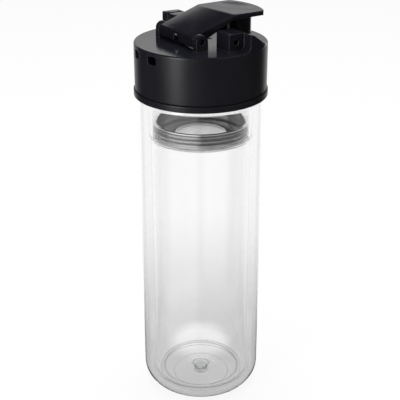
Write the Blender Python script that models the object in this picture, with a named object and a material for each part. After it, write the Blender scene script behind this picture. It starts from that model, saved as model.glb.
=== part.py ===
"""Double-wall glass tea bottle with a strainer in its neck and a screw lid.

The lid has a flip lever that covers a drinking spout.
+X points to the spout, +Z up, and the origin is the middle of the base.
"""
import math

import bmesh
import bpy
from mathutils import Matrix, Vector

MM = 0.001
TURN = 2 * math.pi

# Fits and fineness
GAP = 0.3 * MM
LAP = 0.4 * MM
OVERRUN = 6.0 * MM
MERGE = 0.0005 * MM
ROUND_STEPS = 40
SMALL_STEPS = 16
ARC_STEPS = 2
FILLET_STEPS = 5

# Outer glass
BODY_R = 36.0 * MM
OUTER_WALL = 2.0 * MM
BASE_FILLET = 12.0 * MM
BASE_THICKNESS = 2.2 * MM
BASE_RING_R = 17.0 * MM
BASE_DOME_R = 10.0 * MM
BASE_DOME_RISE = 1.6 * MM
SHOULDER_Z = 189.6 * MM
SHOULDER_ROUND = 2.6 * MM
SHOULDER_RISE = 0.6 * MM
SHOULDER_STEP = 4.6 * MM
NECK_WALL = 1.1 * MM
NECK_HEIGHT = 15.2 * MM
LIP_HEIGHT = 1.3 * MM

# Inner glass
INNER_WALL = 1.9 * MM
INNER_FILLET = 4.5 * MM
LEDGE_DEPTH = 40.6 * MM
LEDGE_WIDTH = 0.75 * MM
LEDGE_RUN = 2.0 * MM

# Plug in the middle of the outer glass's base
PLUG_STEM_R = 3.2 * MM
PLUG_HEAD_R = 4.5 * MM
PLUG_HEAD_HEIGHT = 1.1 * MM
PLUG_BULB_R = 4.3 * MM
PLUG_BULB_HEIGHT = 1.0 * MM

# Collar bonded to the neck, and its gasket
COLLAR_BAND_STEP = 0.7 * MM
COLLAR_BAND_HEIGHT = 3.5 * MM
COLLAR_FLANGE = 1.0 * MM
COLLAR_WALL = 1.3 * MM
COLLAR_NECK_HEIGHT = 10.6 * MM
COLLAR_GASKET_THICKNESS = 0.8 * MM
COLLAR_GASKET_WIDTH = 2.2 * MM

# Screw thread between collar and lid
THREAD_PITCH = 4.0 * MM
THREAD_DEPTH = 0.8 * MM
THREAD_BASE = 2.2 * MM
THREAD_CREST = 1.4 * MM
THREAD_START = 2.0 * MM
THREAD_TURNS = 1.25
THREAD_CREST_GAP = 0.4 * MM

# Lid shell
LID_STEP = 1.5 * MM
LID_WALL = 2.0 * MM
LID_HEIGHT = 26.5 * MM
LID_RIM_ROUND = 0.9 * MM
DECK_THICKNESS = 1.9 * MM
BOSS_R = 3.2 * MM
BOSS_INSET = 8.1 * MM
BOSS_COUNT = 3
STRAP_WINDOW_WIDTH = 6.5 * MM
STRAP_WINDOW_HEIGHT = 4.9 * MM
STRAP_WINDOW_DROP = 2.0 * MM
STRAP_WINDOW_ROUND = 1.4 * MM
STRAP_WINDOW_ANGLE = math.radians(12)

# Threaded inner cup of the lid, and the seal under its ceiling
SLEEVE_WALL = 1.0 * MM
CEILING_THICKNESS = 1.7 * MM
MOUTH_PLUG_WALL = 1.8 * MM
MOUTH_PLUG_DROP = 10.3 * MM
LID_SEAL_THICKNESS = 1.7 * MM
FLOW_HOLE_R = 4.6 * MM
FLOW_HOLE_OFFSET = 3.0 * MM

# Screws that hold the inner cup
SCREW_R = 1.2 * MM
SCREW_LENGTH = 7.0 * MM
SCREW_HEAD_R = 2.6 * MM
SCREW_HEAD_HEIGHT = 1.5 * MM
SCREW_SOCKET_R = 1.1 * MM
SCREW_SOCKET_DEPTH = 0.9 * MM

# Drinking spout and its ring seal
SPOUT_INSET = 14.5 * MM
SPOUT_R = 6.8 * MM
SPOUT_WALL = 1.6 * MM
SPOUT_HEIGHT = 9.0 * MM
SPOUT_FLANGE_WIDTH = 2.6 * MM
SPOUT_FLANGE = 1.2 * MM
SPOUT_SEAL_WIDTH = 1.8 * MM
SPOUT_SEAL_THICKNESS = 1.1 * MM

# Air vent valve
VENT_X = 6.0 * MM
VENT_R = 1.8 * MM
VENT_HEAD_R = 3.4 * MM
VENT_HEAD_HEIGHT = 1.2 * MM
VENT_SLIT_R = 0.6 * MM

# Hinge: ears on the deck, and the pin
HINGE_INSET = 24.6 * MM
HINGE_Z = 5.1 * MM
EAR_R = 3.7 * MM
EAR_GAP = 0.4 * MM
EAR_THICKNESS = 3.6 * MM
PIN_R = 1.25 * MM
PIN_PLAY = 0.35 * MM

# Side towers with the latch
TOWER_REAR_X = -2.1 * MM
TOWER_SLOPE_X = 8.0 * MM
TOWER_TOE_INSET = 7.5 * MM
TOWER_SKEW_SHARE = 0.7
TOWER_HEIGHT = 9.4 * MM
TOWER_GAP = 1.5 * MM
TOWER_NOTCH_DEPTH = 7.1 * MM
TOWER_NOTCH_RUN = 9.7 * MM
TOWER_NOTCH_ROUND = 3.0 * MM
TOWER_SLOPE_STEPS = 9

# Latch: cross bolt, push button and return spring
BOLT_X = 2.4 * MM
BOLT_Z = 4.8 * MM
BOLT_R = 1.3 * MM
BOLT_PLAY = 0.3 * MM
BOLT_END_Y = 3.0 * MM
BLIND_HOLE_DEPTH = 5.0 * MM
BUTTON_TRAVEL = 1.5 * MM
BUTTON_SOCKET = 1.7 * MM
LATCH_BORE_DEPTH = 5.0 * MM
LATCH_SPRING_WIRE_R = 0.3 * MM
LATCH_SPRING_PITCH = 1.15 * MM

# Flip lever
LEVER_HALF_WIDTH = 17.1 * MM
LEVER_THICKNESS = 2.6 * MM
LEVER_REAR_X = -2.7 * MM
LEVER_REAR_Z = 2.6 * MM
LEVER_LIP_STEP = 0.5 * MM
LEVER_LIP_SLANT = 0.8 * MM
LEVER_LIP_R = 4.5 * MM
LEVER_LIP_WALL = 0.8 * MM
LEVER_FOOT_X = 3.2 * MM
LEVER_FOOT_DROP = 0.9 * MM
LEVER_CREASE_INSET = 27.8 * MM
LEVER_PAD_Z = 10.8 * MM
LEVER_END_INSET = 2.3 * MM
LEVER_CORNER_R = 3.0 * MM
KNUCKLE_R = 3.0 * MM
KNUCKLE_WIDTH = 3.6 * MM
CAP_STEP = 2.7 * MM
CAP_WALL = 1.1 * MM
CAP_DECK_GAP = 0.4 * MM
DISH_LENGTH = 20.0 * MM
DISH_WIDTH = 28.0 * MM
DISH_DEPTH = 0.7 * MM
TONGUE_THICKNESS = 1.8 * MM
TONGUE_WIDTH = 6.0 * MM
TONGUE_INSET = 1.0 * MM
TONGUE_DECK_GAP = 1.5 * MM
TONGUE_BOLT_GAP = 0.4 * MM

# Soft stopper in the lever's cap
STOPPER_PLAY = 0.5 * MM
STOPPER_TAPER = 0.3 * MM
STOPPER_DIP = 1.6 * MM

# Lever spring: two wound coils on the pin, joined by a loop that presses on the deck
SPRING_WIRE_R = 0.35 * MM
SPRING_PITCH = 1.15 * MM
SPRING_CURLS = 3
SPRING_MIDDLE = 1.6 * MM
SPRING_LEG = 8.0 * MM
SPRING_LOOP = 9.0 * MM
SPRING_POINTS_PER_CURL = 10

# Strainer
CUP_WALL = 0.6 * MM
CUP_HEIGHT = 9.4 * MM
CUP_RIM_GAP = 0.7 * MM
CUP_RIM_HEIGHT = 1.0 * MM
CUP_FLOOR_HOLE_R = 13.7 * MM
CUP_CORNER_R = 1.5 * MM
SIEVE_THICKNESS = 0.5 * MM
SIEVE_MARGIN = 1.2 * MM
SIEVE_HOLE_R = 0.7 * MM
SIEVE_PITCH = 2.4 * MM
SIEVE_RINGS = 5
GASKET_WALL = 0.6 * MM
GASKET_RIB_DEPTH = 0.6 * MM
GASKET_FOOT = 3.2 * MM
GASKET_FOOT_HEIGHT = 0.6 * MM
GASKET_RIBS = 3
GASKET_TAIL_HEIGHT = 1.6 * MM
GASKET_TAIL_TAPER = 1.45 * MM

# Places that follow from the sizes above: glass and neck
PLUG_BULB_Z = BASE_DOME_RISE + BASE_THICKNESS + GAP
INNER_BOTTOM_Z = PLUG_BULB_Z + PLUG_BULB_HEIGHT + GAP
NECK_R = BODY_R - SHOULDER_STEP
INNER_R = NECK_R - NECK_WALL - GAP - LEDGE_WIDTH
GLASS_SHOULDER_TOP = SHOULDER_Z + SHOULDER_ROUND + SHOULDER_RISE
MOUTH_Z = GLASS_SHOULDER_TOP + NECK_HEIGHT
BORE_R = INNER_R - INNER_WALL
MOUTH_R = BORE_R + LEDGE_WIDTH
LEDGE_Z = MOUTH_Z - LEDGE_DEPTH
FLANGE_Z = GLASS_SHOULDER_TOP + GAP + COLLAR_GASKET_THICKNESS + GAP
BAND_TOP_Z = FLANGE_Z + COLLAR_FLANGE
COLLAR_IN_R = NECK_R + GAP
COLLAR_R = COLLAR_IN_R + COLLAR_WALL

# Lid, on its deck
LID_R = BODY_R + LID_STEP
COLLAR_BAND_R = LID_R + COLLAR_BAND_STEP
DECK_Z = BAND_TOP_Z + GAP + LID_HEIGHT
CEILING_Z = MOUTH_Z + GAP + LID_SEAL_THICKNESS + GAP - DECK_Z
CEILING_TOP_Z = CEILING_Z + CEILING_THICKNESS
LID_IN_R = LID_R - LID_WALL
SLEEVE_R = LID_IN_R - GAP
SLEEVE_IN_R = SLEEVE_R - SLEEVE_WALL
MOUTH_PLUG_R = MOUTH_R - 2 * GAP
BOSS_CIRCLE_R = MOUTH_R - BOSS_INSET
SPOUT_X = LID_R - SPOUT_INSET
SPOUT_FLANGE_R = SPOUT_R + SPOUT_FLANGE_WIDTH
FLOW_HOLE_X = SPOUT_X - FLOW_HOLE_OFFSET

# Hinge, towers, latch and lever
HINGE_X = HINGE_INSET - LID_R
PIN_HOLE_R = PIN_R + PIN_PLAY
EAR_IN = LEVER_HALF_WIDTH + EAR_GAP
SPRING_R = PIN_HOLE_R + SPRING_WIRE_R
TOWER_IN = LEVER_HALF_WIDTH + TOWER_GAP
TOWER_TOE_X = LID_R - TOWER_TOE_INSET
TOWER_NOTCH_IN = LID_R - TOWER_NOTCH_DEPTH
TOWER_NOTCH_FRONT_X = TOWER_REAR_X + TOWER_NOTCH_RUN
BOLT_HOLE_R = BOLT_R + BOLT_PLAY
LATCH_SPRING_R = BOLT_HOLE_R + LATCH_SPRING_WIRE_R
LATCH_BORE_R = LATCH_SPRING_R + LATCH_SPRING_WIRE_R + GAP
LEVER_CREASE_X = LID_R - LEVER_CREASE_INSET - HINGE_X
LEVER_END_R = LID_R - LEVER_END_INSET
CAP_R = SPOUT_R + CAP_STEP
STOPPER_BOSS_R = SPOUT_R - SPOUT_WALL - STOPPER_PLAY
STOPPER_TIP_R = STOPPER_BOSS_R - STOPPER_TAPER

# Strainer
GASKET_RIB_R = MOUTH_R - GAP
GASKET_R = GASKET_RIB_R - GASKET_RIB_DEPTH
GASKET_IN_R = GASKET_R - GASKET_WALL
CUP_R = GASKET_IN_R - GAP
CUP_RIM_R = MOUTH_R - CUP_RIM_GAP
GASKET_LOW_Z = LEDGE_Z - GASKET_TAIL_HEIGHT
CUP_FLOOR_Z = GASKET_LOW_Z + GASKET_FOOT_HEIGHT + GAP


def arc(centre, radius, start, stop, steps=ARC_STEPS):
    """Points on a round stretch, angles in quarter turns from the first axis."""
    quarter = TURN / 4
    angles = [(start + (stop - start) * i / steps) * quarter for i in range(steps + 1)]
    return [(centre[0] + radius * math.cos(a), centre[1] + radius * math.sin(a)) for a in angles]


def new_object(name, bm):
    """Close a working mesh into a named object."""
    bmesh.ops.recalc_face_normals(bm, faces=bm.faces)
    mesh = bpy.data.meshes.new(name)
    bm.to_mesh(mesh)
    bm.free()
    piece = bpy.data.objects.new(name, mesh)
    bpy.context.scene.collection.objects.link(piece)
    return piece


def turned(name, profile, centre=(0, 0), steps=ROUND_STEPS):
    """A round piece, turned from a profile of radii and heights about an upright axis."""
    bm = bmesh.new()
    points = [bm.verts.new((r, 0, z)) for r, z in profile]
    pairs = zip(points, points[1:] + points[:1])
    lines = [bm.edges.new(pair) for pair in pairs if pair[0].co.x > 0 or pair[1].co.x > 0]
    bmesh.ops.spin(bm, geom=points + lines, axis=(0, 0, 1), angle=TURN, steps=steps, use_merge=True)
    bmesh.ops.remove_doubles(bm, verts=bm.verts, dist=MERGE)
    bmesh.ops.translate(bm, vec=(*centre, 0), verts=bm.verts)
    return new_object(name, bm)


def extruded(name, outline, low, high, side=False):
    """A piece of one outline: upright from a plan, or across from a side view of x and z."""
    bm = bmesh.new()
    place = (lambda u, v, w: (u, w, v)) if side else (lambda u, v, w: (u, v, w))
    face = bm.faces.new([bm.verts.new(place(u, v, low)) for u, v in outline])
    grown = bmesh.ops.extrude_face_region(bm, geom=[face])
    moved = [v for v in grown["geom"] if isinstance(v, bmesh.types.BMVert)]
    bmesh.ops.translate(bm, vec=place(0, 0, high - low), verts=moved)
    return new_object(name, bm)


def rod(name, radius, start, stop, steps=SMALL_STEPS):
    """A straight round bar between two points."""
    bm = bmesh.new()
    span = Vector(stop) - Vector(start)
    turn = span.to_track_quat("Z", "Y").to_matrix().to_4x4()
    place = Matrix.Translation((Vector(start) + Vector(stop)) / 2) @ turn
    bmesh.ops.create_cone(bm, cap_ends=True, segments=steps, radius1=radius, radius2=radius,
                          depth=span.length, matrix=place)
    return new_object(name, bm)


def block(name, low, high):
    """A plain block between two corners."""
    plan = [(low[0], low[1]), (high[0], low[1]), (high[0], high[1]), (low[0], high[1])]
    return extruded(name, plan, low[2], high[2])


def combine(piece, tool, operation):
    """Add, cut away or keep what a second shape covers, and drop that shape."""
    step = piece.modifiers.new(operation, "BOOLEAN")
    step.operation = operation
    step.solver = "EXACT"
    step.object = tool
    bpy.context.view_layer.update()
    view = bpy.context.evaluated_depsgraph_get()
    piece_mesh = bpy.data.meshes.new_from_object(piece.evaluated_get(view))
    piece.modifiers.clear()
    piece.data = piece_mesh
    piece_mesh.name = piece.name
    bpy.data.objects.remove(tool)


def add(piece, *tools):
    for tool in tools:
        combine(piece, tool, "UNION")


def cut(piece, *tools):
    for tool in tools:
        combine(piece, tool, "DIFFERENCE")


def keep(piece, tool):
    combine(piece, tool, "INTERSECT")


def thread(name, base_r, crest_r, start_z):
    """A thread ridge that climbs one pitch each turn, its foot sunk in the wall that carries it."""
    bm = bmesh.new()
    steps = round(THREAD_TURNS * ROUND_STEPS)
    rows = []
    for i in range(steps + 1):
        angle = TURN * (i + 0.5) / ROUND_STEPS
        z = start_z + THREAD_PITCH * i / ROUND_STEPS
        section = [(base_r, -THREAD_BASE / 2), (crest_r, -THREAD_CREST / 2),
                   (crest_r, THREAD_CREST / 2), (base_r, THREAD_BASE / 2)]
        rows.append([bm.verts.new((r * math.cos(angle), r * math.sin(angle), z + dz)) for r, dz in section])
    for row, following in zip(rows, rows[1:]):
        for k in range(len(row)):
            bm.faces.new((row[k], row[k - 1], following[k - 1], following[k]))
    bm.faces.new(rows[0])
    bm.faces.new(rows[-1][::-1])
    return new_object(name, bm)


def wire(name, points, radius):
    """One unbroken round wire along points."""
    curve = bpy.data.curves.new(name, "CURVE")
    curve.dimensions = "3D"
    curve.bevel_depth = radius
    curve.bevel_resolution = 1
    curve.use_fill_caps = True
    spline = curve.splines.new("POLY")
    spline.points.add(len(points) - 1)
    for point, place in zip(spline.points, points):
        point.co = (*place, 1)
    piece = bpy.data.objects.new(name, curve)
    bpy.context.scene.collection.objects.link(piece)
    return piece


def print_self_gap(name, points, radius, neighbours):
    """Print the least gap between stretches of a wire that are not near along it."""
    least = min((Vector(a) - Vector(b)).length
                for i, a in enumerate(points) for b in points[i + neighbours:])
    print(f"{name}: least gap to itself {(least - 2 * radius) / MM:.2f} mm")


def finish(piece, colour, roughness, metallic=0.0, parent=None, sharp=35):
    """Give a piece its material, its smooth round faces and its place on its carrier."""
    paint = bpy.data.materials.new(piece.name)
    paint.use_nodes = True
    shader = paint.node_tree.nodes["Principled BSDF"]
    shader.inputs["Base Color"].default_value = (*colour, 1)
    shader.inputs["Roughness"].default_value = roughness
    shader.inputs["Metallic"].default_value = metallic
    paint.diffuse_color = (*colour, 1)
    piece.data.materials.clear()
    piece.data.materials.append(paint)
    if piece.type == "MESH":
        piece.data.shade_smooth()
        piece.data.set_sharp_from_angle(angle=math.radians(sharp))
    piece.parent = parent
    return piece


def axis_point(name, place, parent=None):
    """An empty on a joint's axis, which carries the pieces that move there."""
    empty = bpy.data.objects.new(name, None)
    empty.location = place
    empty.parent = parent
    bpy.context.scene.collection.objects.link(empty)
    return empty


GLASS = (0.93, 0.95, 0.95)
BLACK_PLASTIC = (0.022, 0.022, 0.025)
STEEL = (0.78, 0.78, 0.79)
CLEAR_SILICONE = (0.62, 0.63, 0.63)
DARK_SILICONE = (0.05, 0.05, 0.055)


def outer_glass():
    """Outer wall: round closed bottom, straight wall, and a narrow neck."""
    inside_r = BODY_R - OUTER_WALL
    inside_fillet = BASE_FILLET - OUTER_WALL
    neck_in = NECK_R - NECK_WALL
    shoulder_in = SHOULDER_ROUND - OUTER_WALL / 2
    hole_r = PLUG_STEM_R + GAP
    top = MOUTH_Z - LIP_HEIGHT - GAP
    shoulder_x = BODY_R - SHOULDER_ROUND
    profile = [(hole_r, BASE_DOME_RISE), (BASE_DOME_R, BASE_DOME_RISE), (BASE_RING_R, 0)]
    profile += arc((BODY_R - BASE_FILLET, BASE_FILLET), BASE_FILLET, -1, 0, FILLET_STEPS)
    profile += arc((shoulder_x, SHOULDER_Z), SHOULDER_ROUND, 0, 1)
    profile += [(NECK_R, GLASS_SHOULDER_TOP), (NECK_R, top), (neck_in, top)]
    profile += [(neck_in, GLASS_SHOULDER_TOP - OUTER_WALL)]
    profile += arc((inside_r - shoulder_in, SHOULDER_Z - OUTER_WALL / 2), shoulder_in, 1, 0)
    inside_centre = (inside_r - inside_fillet, BASE_THICKNESS + inside_fillet)
    profile += arc(inside_centre, inside_fillet, 0, -1, FILLET_STEPS)
    profile += [(BASE_RING_R, BASE_THICKNESS), (BASE_DOME_R, BASE_THICKNESS + BASE_DOME_RISE)]
    profile += [(hole_r, BASE_THICKNESS + BASE_DOME_RISE)]
    return finish(turned("outer_glass", profile), GLASS, 0.02)


def inner_glass():
    """Inner wall: flat rounded bottom, a ledge for the strainer, and a lip over the outer neck."""
    ledge_r = INNER_R + LEDGE_WIDTH
    inside_fillet = INNER_FILLET - INNER_WALL
    lip_z = MOUTH_Z - LIP_HEIGHT
    lip_round = LIP_HEIGHT / 2
    profile = [(0, INNER_BOTTOM_Z)]
    fillet_centre = (INNER_R - INNER_FILLET, INNER_BOTTOM_Z + INNER_FILLET)
    profile += arc(fillet_centre, INNER_FILLET, -1, 0, FILLET_STEPS)
    profile += [(INNER_R, LEDGE_Z - LEDGE_RUN), (ledge_r, LEDGE_Z), (ledge_r, lip_z)]
    profile += arc((NECK_R - lip_round, MOUTH_Z - lip_round), lip_round, -1, 1)
    profile += arc((MOUTH_R + lip_round, MOUTH_Z - lip_round), lip_round, 1, 2)
    profile += [(MOUTH_R, LEDGE_Z), (BORE_R, LEDGE_Z), (BORE_R, LEDGE_Z - LEDGE_RUN)]
    profile += arc(fillet_centre, inside_fillet, 0, -1, FILLET_STEPS)
    profile += [(0, INNER_BOTTOM_Z + INNER_WALL)]
    return finish(turned("inner_glass", profile), GLASS, 0.02)


def base_plug():
    """Soft plug in the hole that the glass was blown through."""
    head_top = BASE_DOME_RISE - GAP
    profile = [(0, head_top - PLUG_HEAD_HEIGHT), (PLUG_HEAD_R, head_top - PLUG_HEAD_HEIGHT)]
    profile += [(PLUG_HEAD_R, head_top), (PLUG_STEM_R, head_top), (PLUG_STEM_R, PLUG_BULB_Z)]
    profile += [(PLUG_BULB_R, PLUG_BULB_Z)]
    bulb_centre = (PLUG_BULB_R - PLUG_BULB_HEIGHT, PLUG_BULB_Z)
    profile += arc(bulb_centre, PLUG_BULB_HEIGHT, 0, 1)[1:]
    profile += [(0, PLUG_BULB_Z + PLUG_BULB_HEIGHT)]
    return finish(turned("base_plug", profile, steps=ROUND_STEPS // 2), CLEAR_SILICONE, 0.4)


def neck_collar():
    """Ring bonded over the neck: the wide band under the lid, and the outside thread."""
    band_in = BODY_R + GAP
    band_z = BAND_TOP_Z - COLLAR_BAND_HEIGHT
    edge = LID_RIM_ROUND / 2
    top = BAND_TOP_Z + COLLAR_NECK_HEIGHT
    profile = [(band_in, band_z), (COLLAR_BAND_R - edge, band_z), (COLLAR_BAND_R, band_z + edge)]
    profile += [(COLLAR_BAND_R, BAND_TOP_Z - edge), (COLLAR_BAND_R - edge, BAND_TOP_Z)]
    profile += [(COLLAR_R, BAND_TOP_Z), (COLLAR_R, top), (COLLAR_IN_R, top)]
    profile += [(COLLAR_IN_R, FLANGE_Z), (band_in, FLANGE_Z)]
    collar = turned("neck_collar", profile)
    add(collar, thread("ridge", COLLAR_R - LAP, COLLAR_R + THREAD_DEPTH, BAND_TOP_Z + THREAD_START))
    return finish(collar, BLACK_PLASTIC, 0.45)


def collar_gasket():
    """Flat ring between the glass shoulder and the collar."""
    low = GLASS_SHOULDER_TOP + GAP
    high = low + COLLAR_GASKET_THICKNESS
    wide = COLLAR_IN_R + COLLAR_GASKET_WIDTH
    profile = [(COLLAR_IN_R, low), (wide, low), (wide, high), (COLLAR_IN_R, high)]
    return finish(turned("collar_gasket", profile), DARK_SILICONE, 0.6)


def tower(sign):
    """One side tower: flat top, a slope in an S curve to the rim, and its corner cut out."""
    run = TOWER_TOE_X - TOWER_SLOPE_X
    slope = []
    for i in range(TOWER_SLOPE_STEPS + 1):
        share = i / TOWER_SLOPE_STEPS
        fall = (1 + math.cos(TURN / 2 * share ** TOWER_SKEW_SHARE)) / 2
        slope.append((TOWER_SLOPE_X + run * share, TOWER_HEIGHT * fall))
    side_view = [(TOWER_REAR_X, -LAP), (TOWER_REAR_X, TOWER_HEIGHT)] + slope[:-1]
    side_view += [(TOWER_TOE_X, -LAP)]
    reach = [sign * TOWER_IN, sign * (LID_R + OVERRUN)]
    piece = extruded("tower", side_view, min(reach), max(reach), side=True)
    keep(piece, rod("round", LID_R, (0, 0, -OVERRUN), (0, 0, TOWER_HEIGHT + OVERRUN), ROUND_STEPS))
    notch_view = [(TOWER_REAR_X - OVERRUN, 0)]
    corner = (TOWER_NOTCH_FRONT_X - TOWER_NOTCH_ROUND, TOWER_NOTCH_ROUND)
    notch_view += arc(corner, TOWER_NOTCH_ROUND, -1, 0, FILLET_STEPS)
    notch_view += [(TOWER_NOTCH_FRONT_X, TOWER_HEIGHT + OVERRUN)]
    notch_view += [(TOWER_REAR_X - OVERRUN, TOWER_HEIGHT + OVERRUN)]
    reach = [sign * TOWER_NOTCH_IN, sign * (LID_R + OVERRUN)]
    cut(piece, extruded("notch", notch_view, min(reach), max(reach), side=True))
    return piece


def ear(sign):
    """One hinge ear: upright sides and a round head about the pin."""
    view = [(HINGE_X + EAR_R, -LAP)]
    view += arc((HINGE_X, HINGE_Z), EAR_R, 0, 2, 2 * FILLET_STEPS)
    view += [(HINGE_X - EAR_R, -LAP)]
    reach = [sign * EAR_IN, sign * (EAR_IN + EAR_THICKNESS)]
    return extruded("ear", view, min(reach), max(reach), side=True)


def boss_places():
    turns = [TURN * (i + 0.5) / BOSS_COUNT for i in range(BOSS_COUNT)]
    return [(BOSS_CIRCLE_R * math.cos(a), BOSS_CIRCLE_R * math.sin(a)) for a in turns]


def strap_window(sign):
    """Cutter for one of the two rounded windows at the hinge side of the skirt."""
    half = STRAP_WINDOW_WIDTH / 2
    top = -STRAP_WINDOW_DROP
    low = top - STRAP_WINDOW_HEIGHT
    r = STRAP_WINDOW_ROUND
    corners = [(half - r, low + r, -1), (half - r, top - r, 0)]
    corners += [(r - half, top - r, 1), (r - half, low + r, 2)]
    view = [p for x, z, start in corners for p in arc((x, z), r, start, start + 1, 3)]
    window = extruded("window", view, LID_IN_R - OVERRUN, LID_R + OVERRUN, side=True)
    window.data.transform(Matrix.Rotation(TURN / 4 + sign * STRAP_WINDOW_ANGLE, 4, "Z"))
    return window


def lid_shell(lid):
    """The lid's visible shell: skirt, deck, hinge ears, side towers, and screw bosses below."""
    profile = [(0, 0)]
    profile += arc((LID_R - LID_RIM_ROUND, -LID_RIM_ROUND), LID_RIM_ROUND, 1, 0)
    profile += [(LID_R, -LID_HEIGHT), (LID_IN_R, -LID_HEIGHT), (LID_IN_R, -DECK_THICKNESS)]
    profile += [(0, -DECK_THICKNESS)]
    shell = turned("lid_shell", profile)
    for sign in (-1, 1):
        add(shell, tower(sign), ear(sign))
        cut(shell, strap_window(sign))
    for x, y in boss_places():
        add(shell, rod("boss", BOSS_R, (x, y, CEILING_TOP_Z + GAP), (x, y, LAP - DECK_THICKNESS)))
        hole_top = CEILING_Z + SCREW_LENGTH + GAP
        cut(shell, rod("hole", SCREW_R + GAP, (x, y, CEILING_Z), (x, y, hole_top)))
    outer = LID_R + OVERRUN
    cut(shell, rod("pin_hole", PIN_HOLE_R, (HINGE_X, -outer, HINGE_Z), (HINGE_X, outer, HINGE_Z)))
    cut(shell, rod("bolt_hole", BOLT_HOLE_R, (BOLT_X, 0, BOLT_Z), (BOLT_X, outer, BOLT_Z)))
    blind_end = BLIND_HOLE_DEPTH - TOWER_NOTCH_IN
    cut(shell, rod("blind_hole", BOLT_HOLE_R, (BOLT_X, -outer, BOLT_Z), (BOLT_X, blind_end, BOLT_Z)))
    bore_end = TOWER_NOTCH_IN - LATCH_BORE_DEPTH
    cut(shell, rod("spring_bore", LATCH_BORE_R, (BOLT_X, bore_end, BOLT_Z), (BOLT_X, outer, BOLT_Z)))
    above = (SPOUT_X, 0, OVERRUN)
    cut(shell, rod("spout_hole", SPOUT_R + GAP, (SPOUT_X, 0, -OVERRUN), above, ROUND_STEPS // 2))
    vent_steps = SMALL_STEPS // 2
    cut(shell, rod("vent_hole", VENT_SLIT_R * 2, (VENT_X, 0, -OVERRUN), (VENT_X, 0, OVERRUN), vent_steps))
    return finish(shell, BLACK_PLASTIC, 0.38, parent=lid)


def lid_inner(lid):
    """Threaded cup screwed up inside the shell, with the wall that reaches into the mouth."""
    foot = -LID_HEIGHT + 2 * GAP
    plug_in = MOUTH_PLUG_R - MOUTH_PLUG_WALL
    plug_foot = CEILING_Z - MOUTH_PLUG_DROP
    profile = [(0, CEILING_TOP_Z), (SLEEVE_R, CEILING_TOP_Z), (SLEEVE_R, foot), (SLEEVE_IN_R, foot)]
    profile += [(SLEEVE_IN_R, CEILING_Z), (MOUTH_PLUG_R, CEILING_Z), (MOUTH_PLUG_R, plug_foot)]
    profile += [(plug_in, plug_foot), (plug_in, CEILING_Z), (0, CEILING_Z)]
    cup = turned("lid_inner", profile)
    crest = COLLAR_R + THREAD_CREST_GAP
    start = BAND_TOP_Z + THREAD_START + THREAD_PITCH / 2 - DECK_Z
    add(cup, thread("ridge", SLEEVE_IN_R + LAP, crest, start))
    flow_low = (FLOW_HOLE_X, 0, CEILING_Z - OVERRUN)
    flow_high = (FLOW_HOLE_X, 0, CEILING_TOP_Z + OVERRUN)
    cut(cup, rod("flow_hole", FLOW_HOLE_R, flow_low, flow_high))
    vent_low = (VENT_X, 0, CEILING_Z - OVERRUN)
    vent_high = (VENT_X, 0, CEILING_TOP_Z + OVERRUN)
    cut(cup, rod("vent_hole", VENT_R + GAP, vent_low, vent_high))
    for x, y in boss_places():
        cut(cup, rod("hole", SCREW_R + GAP, (x, y, CEILING_Z - OVERRUN), (x, y, CEILING_TOP_Z + OVERRUN)))
    return finish(cup, BLACK_PLASTIC, 0.5, parent=lid)


def lid_seal(lift):
    """Flat silicone ring that the lid presses on the mouth."""
    low = MOUTH_Z + GAP - DECK_Z
    high = low + LID_SEAL_THICKNESS
    inside = MOUTH_PLUG_R + GAP
    profile = [(inside, low), (NECK_R, low), (NECK_R, high), (inside, high)]
    return finish(turned("lid_seal", profile), CLEAR_SILICONE, 0.5, parent=lift)


def lid_screws(lid):
    """Self-tapping screws, heads up against the cup's ceiling."""
    head_top = CEILING_Z - GAP
    head_low = head_top - SCREW_HEAD_HEIGHT
    profile = [(0, CEILING_Z + SCREW_LENGTH), (SCREW_R, CEILING_Z + SCREW_LENGTH - SCREW_R)]
    profile += [(SCREW_R, head_top), (SCREW_HEAD_R, head_top), (SCREW_HEAD_R, head_low)]
    profile += [(SCREW_SOCKET_R, head_low), (SCREW_SOCKET_R, head_low + SCREW_SOCKET_DEPTH)]
    profile += [(0, head_low + SCREW_SOCKET_DEPTH)]
    for number, place in enumerate(boss_places(), 1):
        screw = turned(f"lid_screw_{number}", profile, place, SMALL_STEPS // 2)
        finish(screw, STEEL, 0.3, 1.0, parent=lid)


def spout(lid):
    """Drinking spout, its flange caught under the deck."""
    inside = SPOUT_R - SPOUT_WALL
    low = CEILING_TOP_Z + GAP + SPOUT_SEAL_THICKNESS + GAP
    flange_top = low + SPOUT_FLANGE
    tip = SPOUT_WALL / 2
    profile = [(inside, low), (SPOUT_FLANGE_R, low), (SPOUT_FLANGE_R, flange_top), (SPOUT_R, flange_top)]
    profile += arc((SPOUT_R - tip, SPOUT_HEIGHT - tip), tip, 0, 2, 4)
    piece = turned("spout", profile, (SPOUT_X, 0), ROUND_STEPS // 2)
    return finish(piece, BLACK_PLASTIC, 0.35, parent=lid)


def spout_seal(lid):
    """Ring seal between the spout's flange and the cup's ceiling."""
    low = CEILING_TOP_Z + GAP
    high = low + SPOUT_SEAL_THICKNESS
    inside = SPOUT_R
    profile = [(inside, low), (inside + SPOUT_SEAL_WIDTH, low)]
    profile += [(inside + SPOUT_SEAL_WIDTH, high), (inside, high)]
    piece = turned("spout_seal", profile, (SPOUT_X, 0), ROUND_STEPS // 2)
    return finish(piece, DARK_SILICONE, 0.6, parent=lid)


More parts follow.
